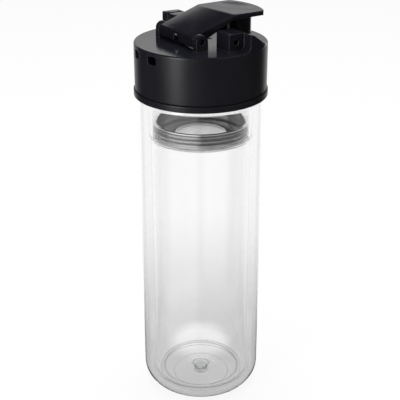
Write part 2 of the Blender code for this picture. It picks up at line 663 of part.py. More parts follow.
def vent_valve(lid):
    """Mushroom valve of silicone that lets air in as one drinks."""
    head = CEILING_TOP_Z + GAP
    foot = CEILING_Z - GAP
    profile = [(VENT_SLIT_R, head + VENT_HEAD_HEIGHT), (VENT_HEAD_R / 2, head + VENT_HEAD_HEIGHT)]
    profile += [(VENT_HEAD_R, head), (VENT_R, head), (VENT_R, foot), (VENT_SLIT_R, foot)]
    return finish(turned("vent_valve", profile, (VENT_X, 0), SMALL_STEPS), CLEAR_SILICONE, 0.5, parent=lid)


def hinge_pin(lid):
    """Steel pin through both ears and the lever."""
    end = EAR_IN + EAR_THICKNESS - GAP
    pin = rod("hinge_pin", PIN_R, (HINGE_X, -end, HINGE_Z), (HINGE_X, end, HINGE_Z))
    return finish(pin, STEEL, 0.25, 1.0, parent=lid)


def lever_slope():
    """Rise of the lever's arm for each unit of run."""
    return (LEVER_PAD_Z - LEVER_REAR_Z) / (LEVER_CREASE_X - LEVER_REAR_X)


def lever_spring(lid):
    """Two coils on the pin, legs under the lever, and a middle loop down to the deck."""
    lean = math.atan(lever_slope())
    start = TURN / 4 + lean
    sweep = TURN * SPRING_CURLS + TURN / 2 - lean
    steps = round(SPRING_POINTS_PER_CURL * sweep / TURN)
    half = []
    tangent = Vector((math.cos(lean), 0, math.sin(lean)))
    first = Vector((SPRING_R * math.cos(start), 0, SPRING_R * math.sin(start)))
    outer_y = SPRING_MIDDLE + SPRING_PITCH * sweep / TURN
    half.append(first + tangent * SPRING_LEG + Vector((0, outer_y, 0)))
    half.append(first + tangent * SPRING_LEG / 2 + Vector((0, outer_y, 0)))
    for i in range(steps + 1):
        angle = start + sweep * i / steps
        y = outer_y - (outer_y - SPRING_MIDDLE) * i / steps
        half.append(Vector((SPRING_R * math.cos(angle), y, SPRING_R * math.sin(angle))))
    deck = SPRING_WIRE_R + GAP - HINGE_Z
    half.append(Vector((SPRING_LOOP, SPRING_MIDDLE, deck)))
    half.append(Vector((SPRING_LOOP + SPRING_MIDDLE, 0, deck)))
    mirrored = [Vector((p.x, -p.y, p.z)) for p in reversed(half[:-1])]
    points = [p + Vector((HINGE_X, 0, HINGE_Z)) for p in half + mirrored]
    print_self_gap("lever_spring", points, SPRING_WIRE_R, SPRING_POINTS_PER_CURL // 2)
    return finish(wire("lever_spring", points, SPRING_WIRE_R), STEEL, 0.25, 1.0, parent=lid)


def quarters_at(x, radius):
    """Angle, in quarter turns, at which a circle's lower rear part reaches x."""
    return 2 + math.acos(-x / radius) / (TURN / 4)


def flip_lever(lever):
    """Arm, thumb pad and cap in one moulding. Places here are measured from the pin."""
    slope = lever_slope()
    knee_x = LEVER_CREASE_X + LEVER_THICKNESS * slope / 2
    pad_low = LEVER_PAD_Z - LEVER_THICKNESS
    end_x = LEVER_END_R - HINGE_X
    lip_x = LEVER_REAR_X - LEVER_LIP_STEP
    lip_in = lip_x + LEVER_LIP_WALL
    lip_in_r = LEVER_LIP_R - LEVER_LIP_WALL
    side_view = [(lip_x, LEVER_REAR_Z - LEVER_LIP_SLANT), (LEVER_REAR_X, LEVER_REAR_Z)]
    side_view += [(LEVER_CREASE_X, LEVER_PAD_Z), (end_x + OVERRUN, LEVER_PAD_Z)]
    side_view += [(end_x + OVERRUN, pad_low), (knee_x, pad_low)]
    side_view += [(LEVER_FOOT_X, -LEVER_FOOT_DROP), (lip_in, -LEVER_FOOT_DROP)]
    side_view += arc((0, 0), lip_in_r, quarters_at(lip_in, lip_in_r), 3)
    side_view += arc((0, 0), LEVER_LIP_R, 3, quarters_at(lip_x, LEVER_LIP_R))
    lever_mesh = extruded("flip_lever", side_view, -LEVER_HALF_WIDTH, LEVER_HALF_WIDTH, side=True)
    plan = lever_plan()
    plan_low = -KNUCKLE_R - OVERRUN
    keep(lever_mesh, extruded("plan", plan, plan_low, LEVER_PAD_Z + OVERRUN))
    for sign in (-1, 1):
        start = (0, sign * (LEVER_HALF_WIDTH - KNUCKLE_WIDTH), 0)
        add(lever_mesh, rod("knuckle", KNUCKLE_R, start, (0, sign * LEVER_HALF_WIDTH, 0)))
    cap_x = SPOUT_X - HINGE_X
    cap_low = CAP_DECK_GAP - HINGE_Z
    cap_profile = [(CAP_R - CAP_WALL, cap_low), (CAP_R, cap_low), (CAP_R, pad_low + LAP)]
    cap_profile += [(CAP_R - CAP_WALL, pad_low + LAP)]
    add(lever_mesh, turned("cap", cap_profile, (cap_x, 0), ROUND_STEPS // 2))
    tongue_x = BOLT_X + BOLT_R + TONGUE_BOLT_GAP - HINGE_X
    tongue_top = LEVER_REAR_Z + (tongue_x - LEVER_REAR_X) * slope - LEVER_THICKNESS / 2
    tongue_y = BOLT_END_Y + TONGUE_INSET
    tongue_low = (tongue_x, tongue_y, TONGUE_DECK_GAP - HINGE_Z)
    tongue_high = (tongue_x + TONGUE_THICKNESS, tongue_y + TONGUE_WIDTH, tongue_top)
    add(lever_mesh, block("tongue", tongue_low, tongue_high))
    wide = LEVER_HALF_WIDTH + OVERRUN
    cut(lever_mesh, rod("bore", PIN_HOLE_R, (0, -wide, 0), (0, wide, 0)))
    coil_end = SPRING_MIDDLE + SPRING_PITCH * (SPRING_CURLS + 1) + SPRING_WIRE_R + GAP
    coil_r = SPRING_R + SPRING_WIRE_R + GAP
    cut(lever_mesh, rod("coil_room", coil_r, (0, -coil_end, 0), (0, coil_end, 0)))
    leg_room = block("leg_room", (0, -coil_end, -coil_r), (SPRING_LEG + 2 * GAP, coil_end, coil_r))
    leg_room.data.transform(Matrix.Rotation(-math.atan(slope), 4, "Y"))
    cut(lever_mesh, leg_room)
    loop_half = SPRING_MIDDLE + SPRING_WIRE_R + 2 * GAP
    loop_low = (lip_x - OVERRUN, -loop_half, -LEVER_LIP_R - OVERRUN)
    cut(lever_mesh, block("loop_room", loop_low, (OVERRUN, loop_half, 0)))
    cut(lever_mesh, dish(cap_x))
    return finish(lever_mesh, BLACK_PLASTIC, 0.4, parent=lever, sharp=30)


def lever_plan():
    """Plan of the lever: straight sides, and an end that follows the lid's rim."""
    half = LEVER_HALF_WIDTH
    corner_reach = LEVER_END_R - LEVER_CORNER_R
    corner_y = half - LEVER_CORNER_R
    corner_angle = math.asin(corner_y / corner_reach)
    corner_x = corner_reach * math.cos(corner_angle) - HINGE_X
    lean_quarters = corner_angle / (TURN / 4)
    plan = [(LEVER_REAR_X - OVERRUN, -half)]
    plan += arc((corner_x, -corner_y), LEVER_CORNER_R, -1, -lean_quarters)
    plan += arc((-HINGE_X, 0), LEVER_END_R, -lean_quarters, lean_quarters, 2 * FILLET_STEPS)[1:-1]
    plan += arc((corner_x, corner_y), LEVER_CORNER_R, lean_quarters, 1)
    plan += [(LEVER_REAR_X - OVERRUN, half)]
    return plan


def dish(centre_x):
    """Cutter for the shallow oval hollow in the thumb pad: the cap of a flattened ball."""
    half_chord = DISH_WIDTH / 2
    ball_r = (half_chord ** 2 + DISH_DEPTH ** 2) / (2 * DISH_DEPTH)
    bowl_angle = math.asin(half_chord / ball_r)
    rings = FILLET_STEPS
    profile = [(ball_r * math.sin(bowl_angle * i / rings), ball_r * (1 - math.cos(bowl_angle * i / rings)))
               for i in range(rings + 1)]
    profile += [(half_chord, DISH_DEPTH + OVERRUN), (0, DISH_DEPTH + OVERRUN)]
    bowl = turned("dish", profile, steps=ROUND_STEPS // 2)
    bowl.data.transform(Matrix.Diagonal((DISH_LENGTH / DISH_WIDTH, 1, 1, 1)))
    bowl.data.transform(Matrix.Translation((centre_x, 0, LEVER_PAD_Z - DISH_DEPTH)))
    return bowl


def lever_stopper(lever):
    """Silicone stopper in the cap: a pad on the spout's rim, and a boss that dips into it."""
    seat = SPOUT_HEIGHT + GAP - HINGE_Z
    top = LEVER_PAD_Z - LEVER_THICKNESS - GAP
    wide = CAP_R - CAP_WALL - GAP
    tip = seat - GAP - STOPPER_DIP
    profile = [(0, tip), (STOPPER_TIP_R, tip), (STOPPER_BOSS_R, seat), (wide, seat), (wide, top), (0, top)]
    piece = turned("lever_stopper", profile, (SPOUT_X - HINGE_X, 0), ROUND_STEPS // 2)
    return finish(piece, CLEAR_SILICONE, 0.5, parent=lever)


def latch_button(latch):
    """Push button in the far tower's cut-out. Places here are measured on the lid's deck."""
    inner = TOWER_NOTCH_IN + BUTTON_TRAVEL + GAP
    view = [(TOWER_REAR_X, GAP)]
    round_r = TOWER_NOTCH_ROUND
    front = TOWER_NOTCH_FRONT_X - GAP
    view += arc((front - round_r, GAP + round_r), round_r, -1, 0, FILLET_STEPS)
    view += [(front, TOWER_HEIGHT), (TOWER_REAR_X, TOWER_HEIGHT)]
    button = extruded("latch_button", view, inner, LID_R + OVERRUN, side=True)
    keep(button, rod("round", LID_R, (0, 0, -OVERRUN), (0, 0, TOWER_HEIGHT + OVERRUN), ROUND_STEPS))
    socket = (BOLT_X, inner + BUTTON_SOCKET, BOLT_Z)
    cut(button, rod("socket", BOLT_HOLE_R, (BOLT_X, inner - OVERRUN, BOLT_Z), socket))
    return finish(button, BLACK_PLASTIC, 0.38, parent=latch)


def latch_bolt(latch):
    """Steel bolt from the button through the far tower, to the tongue under the lever."""
    far = TOWER_NOTCH_IN + BUTTON_TRAVEL + BUTTON_SOCKET
    bolt = rod("latch_bolt", BOLT_R, (BOLT_X, BOLT_END_Y, BOLT_Z), (BOLT_X, far, BOLT_Z))
    return finish(bolt, STEEL, 0.25, 1.0, parent=latch)


def latch_spring(latch):
    """Return spring on the bolt, behind the button."""
    far = TOWER_NOTCH_IN + BUTTON_TRAVEL - LATCH_SPRING_WIRE_R
    near = TOWER_NOTCH_IN - LATCH_BORE_DEPTH + BUTTON_TRAVEL + 2 * GAP + LATCH_SPRING_WIRE_R
    curls = (far - near) / LATCH_SPRING_PITCH
    steps = round(SPRING_POINTS_PER_CURL * curls)
    points = []
    for i in range(steps + 1):
        angle = TURN * curls * i / steps
        x = BOLT_X + LATCH_SPRING_R * math.cos(angle)
        z = BOLT_Z + LATCH_SPRING_R * math.sin(angle)
        points.append((x, near + (far - near) * i / steps, z))
    print_self_gap("latch_spring", points, LATCH_SPRING_WIRE_R, SPRING_POINTS_PER_CURL // 2)
    return finish(wire("latch_spring", points, LATCH_SPRING_WIRE_R), STEEL, 0.25, 1.0, parent=latch)


def strainer_cup(strainer):
    """Shallow pressed steel cup with an open floor and a rolled rim."""
    top = CUP_FLOOR_Z + CUP_HEIGHT
    inside = CUP_R - CUP_WALL
    floor_top = CUP_FLOOR_Z + CUP_WALL
    r = CUP_CORNER_R
    rim_low = top - CUP_RIM_HEIGHT
    rim = CUP_RIM_HEIGHT / 2
    profile = [(CUP_FLOOR_HOLE_R, CUP_FLOOR_Z)]
    profile += arc((CUP_R - r, CUP_FLOOR_Z + r), r, -1, 0)
    profile += [(CUP_R, rim_low)]
    profile += arc((CUP_RIM_R - rim, top - rim), rim, -1, 1)
    profile += [(inside, top)]
    profile += arc((CUP_R - r, CUP_FLOOR_Z + r), r - CUP_WALL, 0, -1)
    profile += [(CUP_FLOOR_HOLE_R, floor_top)]
    return finish(turned("strainer_cup", profile), STEEL, 0.25, 1.0, parent=strainer)


def sieve(strainer):
    """Perforated disc welded on the cup's floor, its holes packed in hexagons."""
    bm = bmesh.new()
    low = CUP_FLOOR_Z + CUP_WALL + GAP
    reach = CUP_FLOOR_HOLE_R + SIEVE_MARGIN
    loops = [[(reach * math.cos(TURN * i / ROUND_STEPS), reach * math.sin(TURN * i / ROUND_STEPS))
              for i in range(ROUND_STEPS)]]
    hole = [(SIEVE_HOLE_R * math.cos(TURN * k / 6), SIEVE_HOLE_R * math.sin(TURN * k / 6)) for k in range(6)]
    for row in range(-SIEVE_RINGS, SIEVE_RINGS + 1):
        count = 2 * SIEVE_RINGS + 1 - abs(row)
        for i in range(count):
            x = SIEVE_PITCH * (i - (count - 1) / 2)
            y = SIEVE_PITCH * row * math.sin(TURN / 6)
            loops.append([(x + dx, y + dy) for dx, dy in hole])
    lines = []
    for loop in loops:
        points = [bm.verts.new((x, y, low)) for x, y in loop]
        lines += [bm.edges.new(pair) for pair in zip(points, points[1:] + points[:1])]
    bmesh.ops.triangle_fill(bm, edges=lines, use_beauty=True)
    grown = bmesh.ops.extrude_face_region(bm, geom=list(bm.faces))
    moved = [v for v in grown["geom"] if isinstance(v, bmesh.types.BMVert)]
    bmesh.ops.translate(bm, vec=(0, 0, SIEVE_THICKNESS), verts=moved)
    return finish(new_object("sieve", bm), STEEL, 0.3, 1.0, parent=strainer)


def strainer_gasket(strainer):
    """Ribbed silicone ring round the cup: it rests on the ledge, and its tail tapers under the cup."""
    seat = LEDGE_Z + GAP
    top = CUP_FLOOR_Z + CUP_HEIGHT - CUP_RIM_HEIGHT - GAP
    rib = (top - seat) / (2 * GASKET_RIBS)
    tail_r = BORE_R - GAP
    profile = [(GASKET_IN_R - GASKET_FOOT, GASKET_LOW_Z), (tail_r - GASKET_TAIL_TAPER, GASKET_LOW_Z)]
    profile += [(tail_r, LEDGE_Z - GAP), (tail_r, seat)]
    for i in range(GASKET_RIBS):
        z = seat + 2 * rib * i
        profile += [(GASKET_RIB_R, z), (GASKET_RIB_R, z + rib / 2), (GASKET_R, z + rib)]
    profile += [(GASKET_R, top), (GASKET_IN_R, top)]
    corner = (CUP_R - CUP_CORNER_R, CUP_FLOOR_Z + CUP_CORNER_R)
    profile += arc(corner, CUP_CORNER_R + GAP, 0, -1)
    profile += [(GASKET_IN_R - GASKET_FOOT, CUP_FLOOR_Z - GAP)]
    return finish(turned("strainer_gasket", profile), CLEAR_SILICONE, 0.5, parent=strainer)


def build():
    for old in list(bpy.data.objects):
        bpy.data.objects.remove(old)
    outer_glass()
    inner_glass()
    base_plug()
    neck_collar()
    collar_gasket()
    strainer = axis_point("strainer_axis", (0, 0, 0))
    strainer_cup(strainer)
    sieve(strainer)
    strainer_gasket(strainer)
    lift = axis_point("lid_lift_axis", (0, 0, DECK_Z))
    lid_seal(lift)
    lid = axis_point("lid_axis", (0, 0, 0), lift)
    lid_shell(lid)
    lid_inner(lid)
    lid_screws(lid)
    spout(lid)
    spout_seal(lid)
    vent_valve(lid)
    hinge_pin(lid)
    lever_spring(lid)
    lever = axis_point("lever_axis", (HINGE_X, 0, HINGE_Z), lid)
    flip_lever(lever)
    lever_stopper(lever)
    latch = axis_point("latch_axis", (0, 0, 0), lid)
    latch_button(latch)
    latch_bolt(latch)
    latch_spring(latch)


build()
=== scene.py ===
import math

import bmesh
import bpy
from mathutils import Matrix, Vector


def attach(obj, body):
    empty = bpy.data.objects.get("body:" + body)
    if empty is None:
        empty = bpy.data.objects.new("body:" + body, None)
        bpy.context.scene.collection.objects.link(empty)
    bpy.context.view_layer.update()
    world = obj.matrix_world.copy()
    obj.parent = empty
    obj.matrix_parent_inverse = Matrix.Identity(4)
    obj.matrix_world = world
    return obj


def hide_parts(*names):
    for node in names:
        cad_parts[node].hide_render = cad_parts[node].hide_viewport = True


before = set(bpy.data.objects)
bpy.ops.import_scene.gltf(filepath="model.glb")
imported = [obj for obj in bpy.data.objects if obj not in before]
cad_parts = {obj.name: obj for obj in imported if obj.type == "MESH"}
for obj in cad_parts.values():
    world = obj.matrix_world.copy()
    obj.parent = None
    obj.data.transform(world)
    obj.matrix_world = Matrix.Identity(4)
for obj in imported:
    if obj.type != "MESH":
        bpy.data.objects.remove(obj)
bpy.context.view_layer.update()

# Where it is looked at from: above the hinge side, with the spout away to the right.
# A long lens tilts down so that the lid reaches the top of the picture and the base its foot.
MM = 0.001
TURN = 2 * math.pi
VIEW_TURN = math.radians(33.56)
VIEW_TILT = math.radians(23.8)
VIEW_DISTANCE = 482.65 * MM
VIEW_HEIGHT = 347.1 * MM
VIEW_ASIDE = 0.28 * MM
PICTURE_PIXELS = 400
FOCAL_PIXELS = 882.3
MIDDLE_PIXEL = (201.25, 184.0)
AWAY = Vector((math.sin(VIEW_TURN), math.cos(VIEW_TURN), 0))
ASIDE = Vector((math.cos(VIEW_TURN), -math.sin(VIEW_TURN), 0))

lens = bpy.data.cameras.new("lens")
lens.lens = FOCAL_PIXELS * lens.sensor_width / PICTURE_PIXELS
lens.shift_x = 0.5 - MIDDLE_PIXEL[0] / PICTURE_PIXELS
lens.shift_y = MIDDLE_PIXEL[1] / PICTURE_PIXELS - 0.5
camera = bpy.data.objects.new("camera", lens)
camera.location = ASIDE * VIEW_ASIDE - AWAY * VIEW_DISTANCE + Vector((0, 0, VIEW_HEIGHT))
camera.rotation_euler = (TURN / 4 - VIEW_TILT, 0, -VIEW_TURN)
bpy.context.scene.collection.objects.link(camera)
bpy.context.scene.camera = camera


# Outer glass wall: a blown tube of clear heat-proof glass with a rounded, slightly domed foot.
# Its shoulder draws in to a narrow neck that the lid's collar is bonded round.
BODY_R = 36.0 * MM
OUTER_WALL = 2.0 * MM
FOOT_FILLET = 12.0 * MM
FOOT_THICKNESS = 2.2 * MM
FOOT_RING_R = 17.0 * MM
DOME_R = 10.0 * MM
DOME_RISE = 1.6 * MM
SHOULDER_Z = 189.6 * MM
SHOULDER_ROUND = 2.6 * MM
SHOULDER_TOP = 192.8 * MM
NECK_R = 31.4 * MM
NECK_WALL = 1.1 * MM
MOUTH_Z = 208.0 * MM
LIP_HEIGHT = 1.3 * MM
GAP = 0.3 * MM
PLUG_STEM_R = 3.2 * MM
HOLE_ROUND = 0.4 * MM
FOOT_RAMP = 2.5 * MM
RAMP_RISE = 0.45 * MM
RAMP_RISE_INSIDE = 0.4 * MM
RAMP_TOE = 0.8 * MM
RAMP_TOE_RISE = 0.06 * MM
DOME_FALL = 0.06
NECK_FILLET = 0.6 * MM
RING_FADE = 0.2 * MM
# Rings of painted shade on the outer glass's foot: radius, half width, lowest and highest height.
OUTER_PAINTED_SHADE_RINGS = [(30.5 * MM, 0.9 * MM, -1.0 * MM, 1.4 * MM), (26.0 * MM, 0.6 * MM, 1.6 * MM, 4.6 * MM),
               (17.5 * MM, 0.7 * MM, -1.0 * MM, 1.0 * MM)]
GLASS_IOR = 1.47
GLASS_EDGE_PAINTED_SHADE = 0.55
GLASS_RING_PAINTED_SHADE = 1.1
GLASS_PAINTED_SHADE_GREY = (0.42, 0.44, 0.44, 1)
GLASS_DEPTH = (0.80, 0.835, 0.82, 1)
ROUND_STEPS = 160
LONG_RUN = 2.0 * MM
WELD = 0.0005 * MM
WHITE = (1, 1, 1, 1)


class Finish:
    """One socket of a finish's shader nodes, which sums can be written with."""

    def __init__(self, tree, socket=None):
        self.tree = tree
        self.socket = socket

    def node(self, kind, settings=None, inputs=None, output=0):
        """Add a node: its type, its settings, then the values or links of its sockets."""
        made = self.tree.nodes.new("ShaderNode" + kind)
        for key, value in (settings or {}).items():
            setattr(made, key, value)
        feed(made, inputs or {})
        return Finish(self.tree, made.outputs[output])

    def sum(self, operation, first, second):
        return self.node("Math", {"operation": operation}, {0: first, 1: second})

    def __add__(self, other):
        return self.sum("ADD", self, other)

    def __radd__(self, other):
        return self.sum("ADD", other, self)

    def __sub__(self, other):
        return self.sum("SUBTRACT", self, other)

    def __rsub__(self, other):
        return self.sum("SUBTRACT", other, self)

    def __mul__(self, other):
        return self.sum("MULTIPLY", self, other)

    def between(self, low, high):
        """Share from 0 to 1 as this value goes from low to high, eased at both ends."""
        return self.node("MapRange", {"interpolation_type": "SMOOTHSTEP"},
                         {"Value": self, "From Min": low, "From Max": high})

    def tint(self, first, second):
        """A colour from the first to the second as this share goes from 0 to 1."""
        return self.node("Mix", {"data_type": "RGBA"}, {0: self, 6: first, 7: second}, 2)

    def place(self):
        """Where the point is on the piece, in metres."""
        return self.node("TexCoord", output=3)

    def height(self):
        """How high the point is on the piece."""
        return self.node("SeparateXYZ", None, {0: self.place()}, 2)

    def radius(self):
        """How far the point is from the upright axis of the piece."""
        flat = self.node("VectorMath", {"operation": "MULTIPLY"}, {0: self.place(), 1: (1, 1, 0)})
        return self.node("VectorMath", {"operation": "LENGTH"}, {0: flat}, 1)

    def noise(self, size, detail=2.0, stretch=(1, 1, 1)):
        """Smooth noise whose blots are about so many metres across."""
        where = self.node("VectorMath", {"operation": "MULTIPLY"}, {0: self.place(), 1: stretch})
        return self.node("TexNoise", None, {"Vector": where, "Scale": 1 / size, "Detail": detail})


def new_finish(name):
    """A new material: the material, its shader's inputs, and a first handle for its nodes."""
    paint = bpy.data.materials.new(name)
    paint.use_nodes = True
    return paint, paint.node_tree.nodes["Principled BSDF"], Finish(paint.node_tree)


def feed(node, values):
    """Link what changes over the surface into a node's sockets, and set what doesn't."""
    for name, value in values.items():
        if isinstance(value, Finish):
            value.tree.links.new(value.socket, node.inputs[name])
        else:
            node.inputs[name].default_value = value


def clear_glass(name, rings):
    """Clear blown glass: faint waves from blowing, painted shade along its edges where it is seen edge-on,
    and painted shade in rings on its foot, given by radius, half width and a span of heights."""
    paint, shader, start = new_finish(name)
    # Painted shade: the glass is tinted grey towards its edges, where it turns away from view.
    turned_away = start.node("LayerWeight", None, {"Blend": 0.5}, 1)
    dark = turned_away.between(0.74, 0.97) * GLASS_EDGE_PAINTED_SHADE
    radius = start.radius()
    height = start.height()
    # Painted shade: dark rings on the foot, where the bending of light at its curves shows dark lines.
    for ring_r, half, low, high in rings:
        off = start.sum("ABSOLUTE", radius - ring_r, 0.0)
        span = height.between(low - RING_FADE, low) * (1 - height.between(high, high + RING_FADE))
        dark = dark + (1 - off.between(0, half)) * span * GLASS_RING_PAINTED_SHADE
    waves = start.noise(11 * MM, 1.0, (1, 1, 0.35))
    bump = start.node("Bump", None, {"Strength": 0.05, "Distance": 0.2 * MM, "Height": waves})
    smears = start.noise(24 * MM, 3.0).between(0.55, 0.8)
    shade = dark.tint(WHITE, GLASS_PAINTED_SHADE_GREY)
    feed(shader, {"Base Color": shade, "Roughness": smears * 0.015, "IOR": GLASS_IOR,
                  "Specular IOR Level": 0.08, "Transmission Weight": 1.0, "Normal": bump})
    depth = start.node("VolumeAbsorption", None, {"Color": GLASS_DEPTH, "Density": 1.0})
    feed(paint.node_tree.nodes["Material Output"], {"Volume": depth})
    return paint


def arc(centre, radius, start, stop, steps=10):
    """Points on a round stretch, angles in quarter turns from the first axis."""
    angles = [(start + (stop - start) * i / steps) * TURN / 4 for i in range(steps + 1)]
    return [(centre[0] + radius * math.cos(a), centre[1] + radius * math.sin(a)) for a in angles]


def new_piece(name, bm):
    """Close a working mesh into a named piece."""
    bmesh.ops.recalc_face_normals(bm, faces=bm.faces)
    mesh = bpy.data.meshes.new(name)
    bm.to_mesh(mesh)
    bm.free()
    piece = bpy.data.objects.new(name, mesh)
    bpy.context.scene.collection.objects.link(piece)
    return piece


def braced(profile):
    """The profile with a point close to both ends of each long run, which keeps its gloss straight."""
    points = []
    for (r, z), (next_r, next_z) in zip(profile, profile[1:] + profile[:1]):
        points.append((r, z))
        length = math.hypot(next_r - r, next_z - z)
        if length > LONG_RUN and (r > 0 or next_r > 0):
            near = GAP / length
            points += [(r + (next_r - r) * share, z + (next_z - z) * share) for share in (near, 1 - near)]
    return points


def turned(name, profile, centre=(0, 0, 0), steps=ROUND_STEPS):
    """A round piece, turned from a profile of radii and heights about an upright axis."""
    bm = bmesh.new()
    points = [bm.verts.new((r, 0, z)) for r, z in braced(profile)]
    pairs = zip(points, points[1:] + points[:1])
    lines = [bm.edges.new(pair) for pair in pairs if pair[0].co.x > 0 or pair[1].co.x > 0]
    bmesh.ops.spin(bm, geom=points + lines, axis=(0, 0, 1), angle=TURN, steps=steps, use_merge=True)
    bmesh.ops.remove_doubles(bm, verts=bm.verts, dist=WELD)
    bmesh.ops.translate(bm, vec=centre, verts=bm.verts)
    return new_piece(name, bm)


def fit(piece, body, paint, slot, *nodes, sharp=32):
    """Finish a piece and let it move with its body, in place of the plain solids it stands for."""
    piece.data.materials.clear()
    piece.data.materials.append(paint)
    if piece.type == "MESH":
        piece.data.shade_smooth()
        piece.data.set_sharp_from_angle(angle=math.radians(sharp))
    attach(piece, body)
    if nodes:
        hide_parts(*nodes)
    return piece


inside_r = BODY_R - OUTER_WALL
inside_fillet = FOOT_FILLET - OUTER_WALL
shoulder_in = SHOULDER_ROUND - OUTER_WALL / 2
neck_top = MOUTH_Z - LIP_HEIGHT - GAP
hole_r = PLUG_STEM_R + GAP
profile = [(hole_r, DOME_RISE + HOLE_ROUND), (hole_r + HOLE_ROUND, DOME_RISE)]
profile += [(DOME_R * share, DOME_RISE * (1.0 - DOME_FALL * share)) for share in (0.6, 0.8, 1.0)]
profile += [(FOOT_RING_R - FOOT_RAMP, RAMP_RISE), (FOOT_RING_R - RAMP_TOE, RAMP_TOE_RISE)]
profile += [(FOOT_RING_R, 0)]
profile += arc((BODY_R - FOOT_FILLET, FOOT_FILLET), FOOT_FILLET, -1, 0, 28)
profile += arc((BODY_R - SHOULDER_ROUND, SHOULDER_Z), SHOULDER_ROUND, 0, 1)
profile += arc((NECK_R + NECK_FILLET, SHOULDER_TOP), NECK_FILLET, 3, 2, 4)
profile += [(NECK_R, neck_top), (NECK_R - NECK_WALL, neck_top)]
profile += [(NECK_R - NECK_WALL, SHOULDER_TOP - OUTER_WALL)]
profile += arc((inside_r - shoulder_in, SHOULDER_Z - OUTER_WALL / 2), shoulder_in, 1, 0)
inside_centre = (inside_r - inside_fillet, FOOT_THICKNESS + inside_fillet)
profile += arc(inside_centre, inside_fillet, 0, -1, 24)
profile += [(FOOT_RING_R, FOOT_THICKNESS), (FOOT_RING_R - FOOT_RAMP, FOOT_THICKNESS + RAMP_RISE_INSIDE)]
profile += [(DOME_R, FOOT_THICKNESS + DOME_RISE), (hole_r, FOOT_THICKNESS + DOME_RISE)]
outer_glass_paint = clear_glass("outer_glass", OUTER_PAINTED_SHADE_RINGS)
fit(turned("outer_wall", profile), "bottle", outer_glass_paint, "clear_glass", "outer_glass", sharp=60)


# Inner glass wall: a second clear tube, fused to the neck at the lip.
# It widens at a ledge below the neck, where the strainer rests, and its flat foot floats free.
INNER_R = 29.25 * MM
INNER_WALL = 1.9 * MM
INNER_FOOT_Z = 5.4 * MM
INNER_FILLET = 4.5 * MM
LEDGE_Z = 167.4 * MM
LEDGE_WIDTH = 0.75 * MM
LEDGE_RUN = 2.0 * MM
LEDGE_CURVE = [(0.35, 0.6), (0.8, 0.2)]
LEDGE_ROUND = 0.3 * MM
LEDGE_EDGE = 0.15 * MM
LEDGE_EDGE_DROP = 0.2 * MM
# Rings of painted shade on the inner glass's foot: radius, half width, lowest and highest height.
INNER_PAINTED_SHADE_RINGS = [(26.6 * MM, 0.8 * MM, 5.3 * MM, 6.6 * MM), (23.6 * MM, 1.1 * MM, 7.1 * MM, 7.6 * MM),
               (5.0 * MM, 0.8 * MM, 7.1 * MM, 7.6 * MM)]
BORE_R = INNER_R - INNER_WALL
MOUTH_R = BORE_R + LEDGE_WIDTH

ledge_r = INNER_R + LEDGE_WIDTH
lip_z = MOUTH_Z - LIP_HEIGHT
lip_round = LIP_HEIGHT / 2
foot_centre = (INNER_R - INNER_FILLET, INNER_FOOT_Z + INNER_FILLET)
profile = [(0, INNER_FOOT_Z)] + arc(foot_centre, INNER_FILLET, -1, 0, 28)
profile += [(INNER_R, LEDGE_Z - LEDGE_RUN)]
profile += [(INNER_R + out * LEDGE_WIDTH, LEDGE_Z - down * LEDGE_RUN) for out, down in LEDGE_CURVE]
profile += [(ledge_r, LEDGE_Z + LEDGE_ROUND), (ledge_r, lip_z)]
profile += arc((NECK_R - lip_round, MOUTH_Z - lip_round), lip_round, -1, 1)
profile += arc((MOUTH_R + lip_round, MOUTH_Z - lip_round), lip_round, 1, 2)
profile += [(MOUTH_R, LEDGE_Z + LEDGE_EDGE_DROP), (MOUTH_R - LEDGE_EDGE, LEDGE_Z)]
profile += [(BORE_R + LEDGE_EDGE, LEDGE_Z), (BORE_R, LEDGE_Z - LEDGE_EDGE_DROP)]
profile += arc(foot_centre, INNER_FILLET - INNER_WALL, 0, -1, 24)
profile += [(0, INNER_FOOT_Z + INNER_WALL)]
inner_glass_paint = clear_glass("inner_glass", INNER_PAINTED_SHADE_RINGS)
fit(turned("inner_wall", profile), "bottle", inner_glass_paint, "clear_glass", "inner_glass", sharp=60)


# Plug in the foot: a clear soft drop of silicone in the hole the outer wall was blown through.
# Its flat head sits up in the dome, so that the bottle never stands on it.
PLUG_HEAD_R = 4.5 * MM
PLUG_HEAD_HEIGHT = 1.1 * MM
PLUG_EDGE = 0.5 * MM
PLUG_BULB_R = 4.3 * MM
PLUG_BULB_HEIGHT = 1.0 * MM


def silicone(name, colour, clear, roughness, pitch=0, first_z=0):
    """Moulded silicone: soft and milky, with a dull skin, and with painted shade in the grooves between its
    ribs.
    """
    paint, shader, start = new_finish(name)
    dull = start.noise(3 * MM).between(0.3, 0.7)
    grain = start.noise(0.25 * MM)
    bump = start.node("Bump", None, {"Strength": 0.1, "Distance": 0.004 * MM, "Height": grain})
    shade = start.noise(5 * MM, 3.0).tint(colour, tuple(c * 0.93 for c in colour[:3]) + (1,))
    # Painted shade: with a rib pitch given, the grooves between the ribs are tinted dark.
    if pitch:
        height = start.height()
        wave = start.sum("COSINE", (height - first_z) * (TURN / pitch), 0.0)
        groove_shade = wave.between(0.0, 0.9) * height.between(first_z, first_z + pitch / 2)
        shade = groove_shade.tint(shade, (0.12, 0.13, 0.13, 1))
    feed(shader, {"Base Color": shade, "Roughness": roughness + dull * 0.03, "IOR": 1.41,
                  "Transmission Weight": clear, "Normal": bump})
    return paint


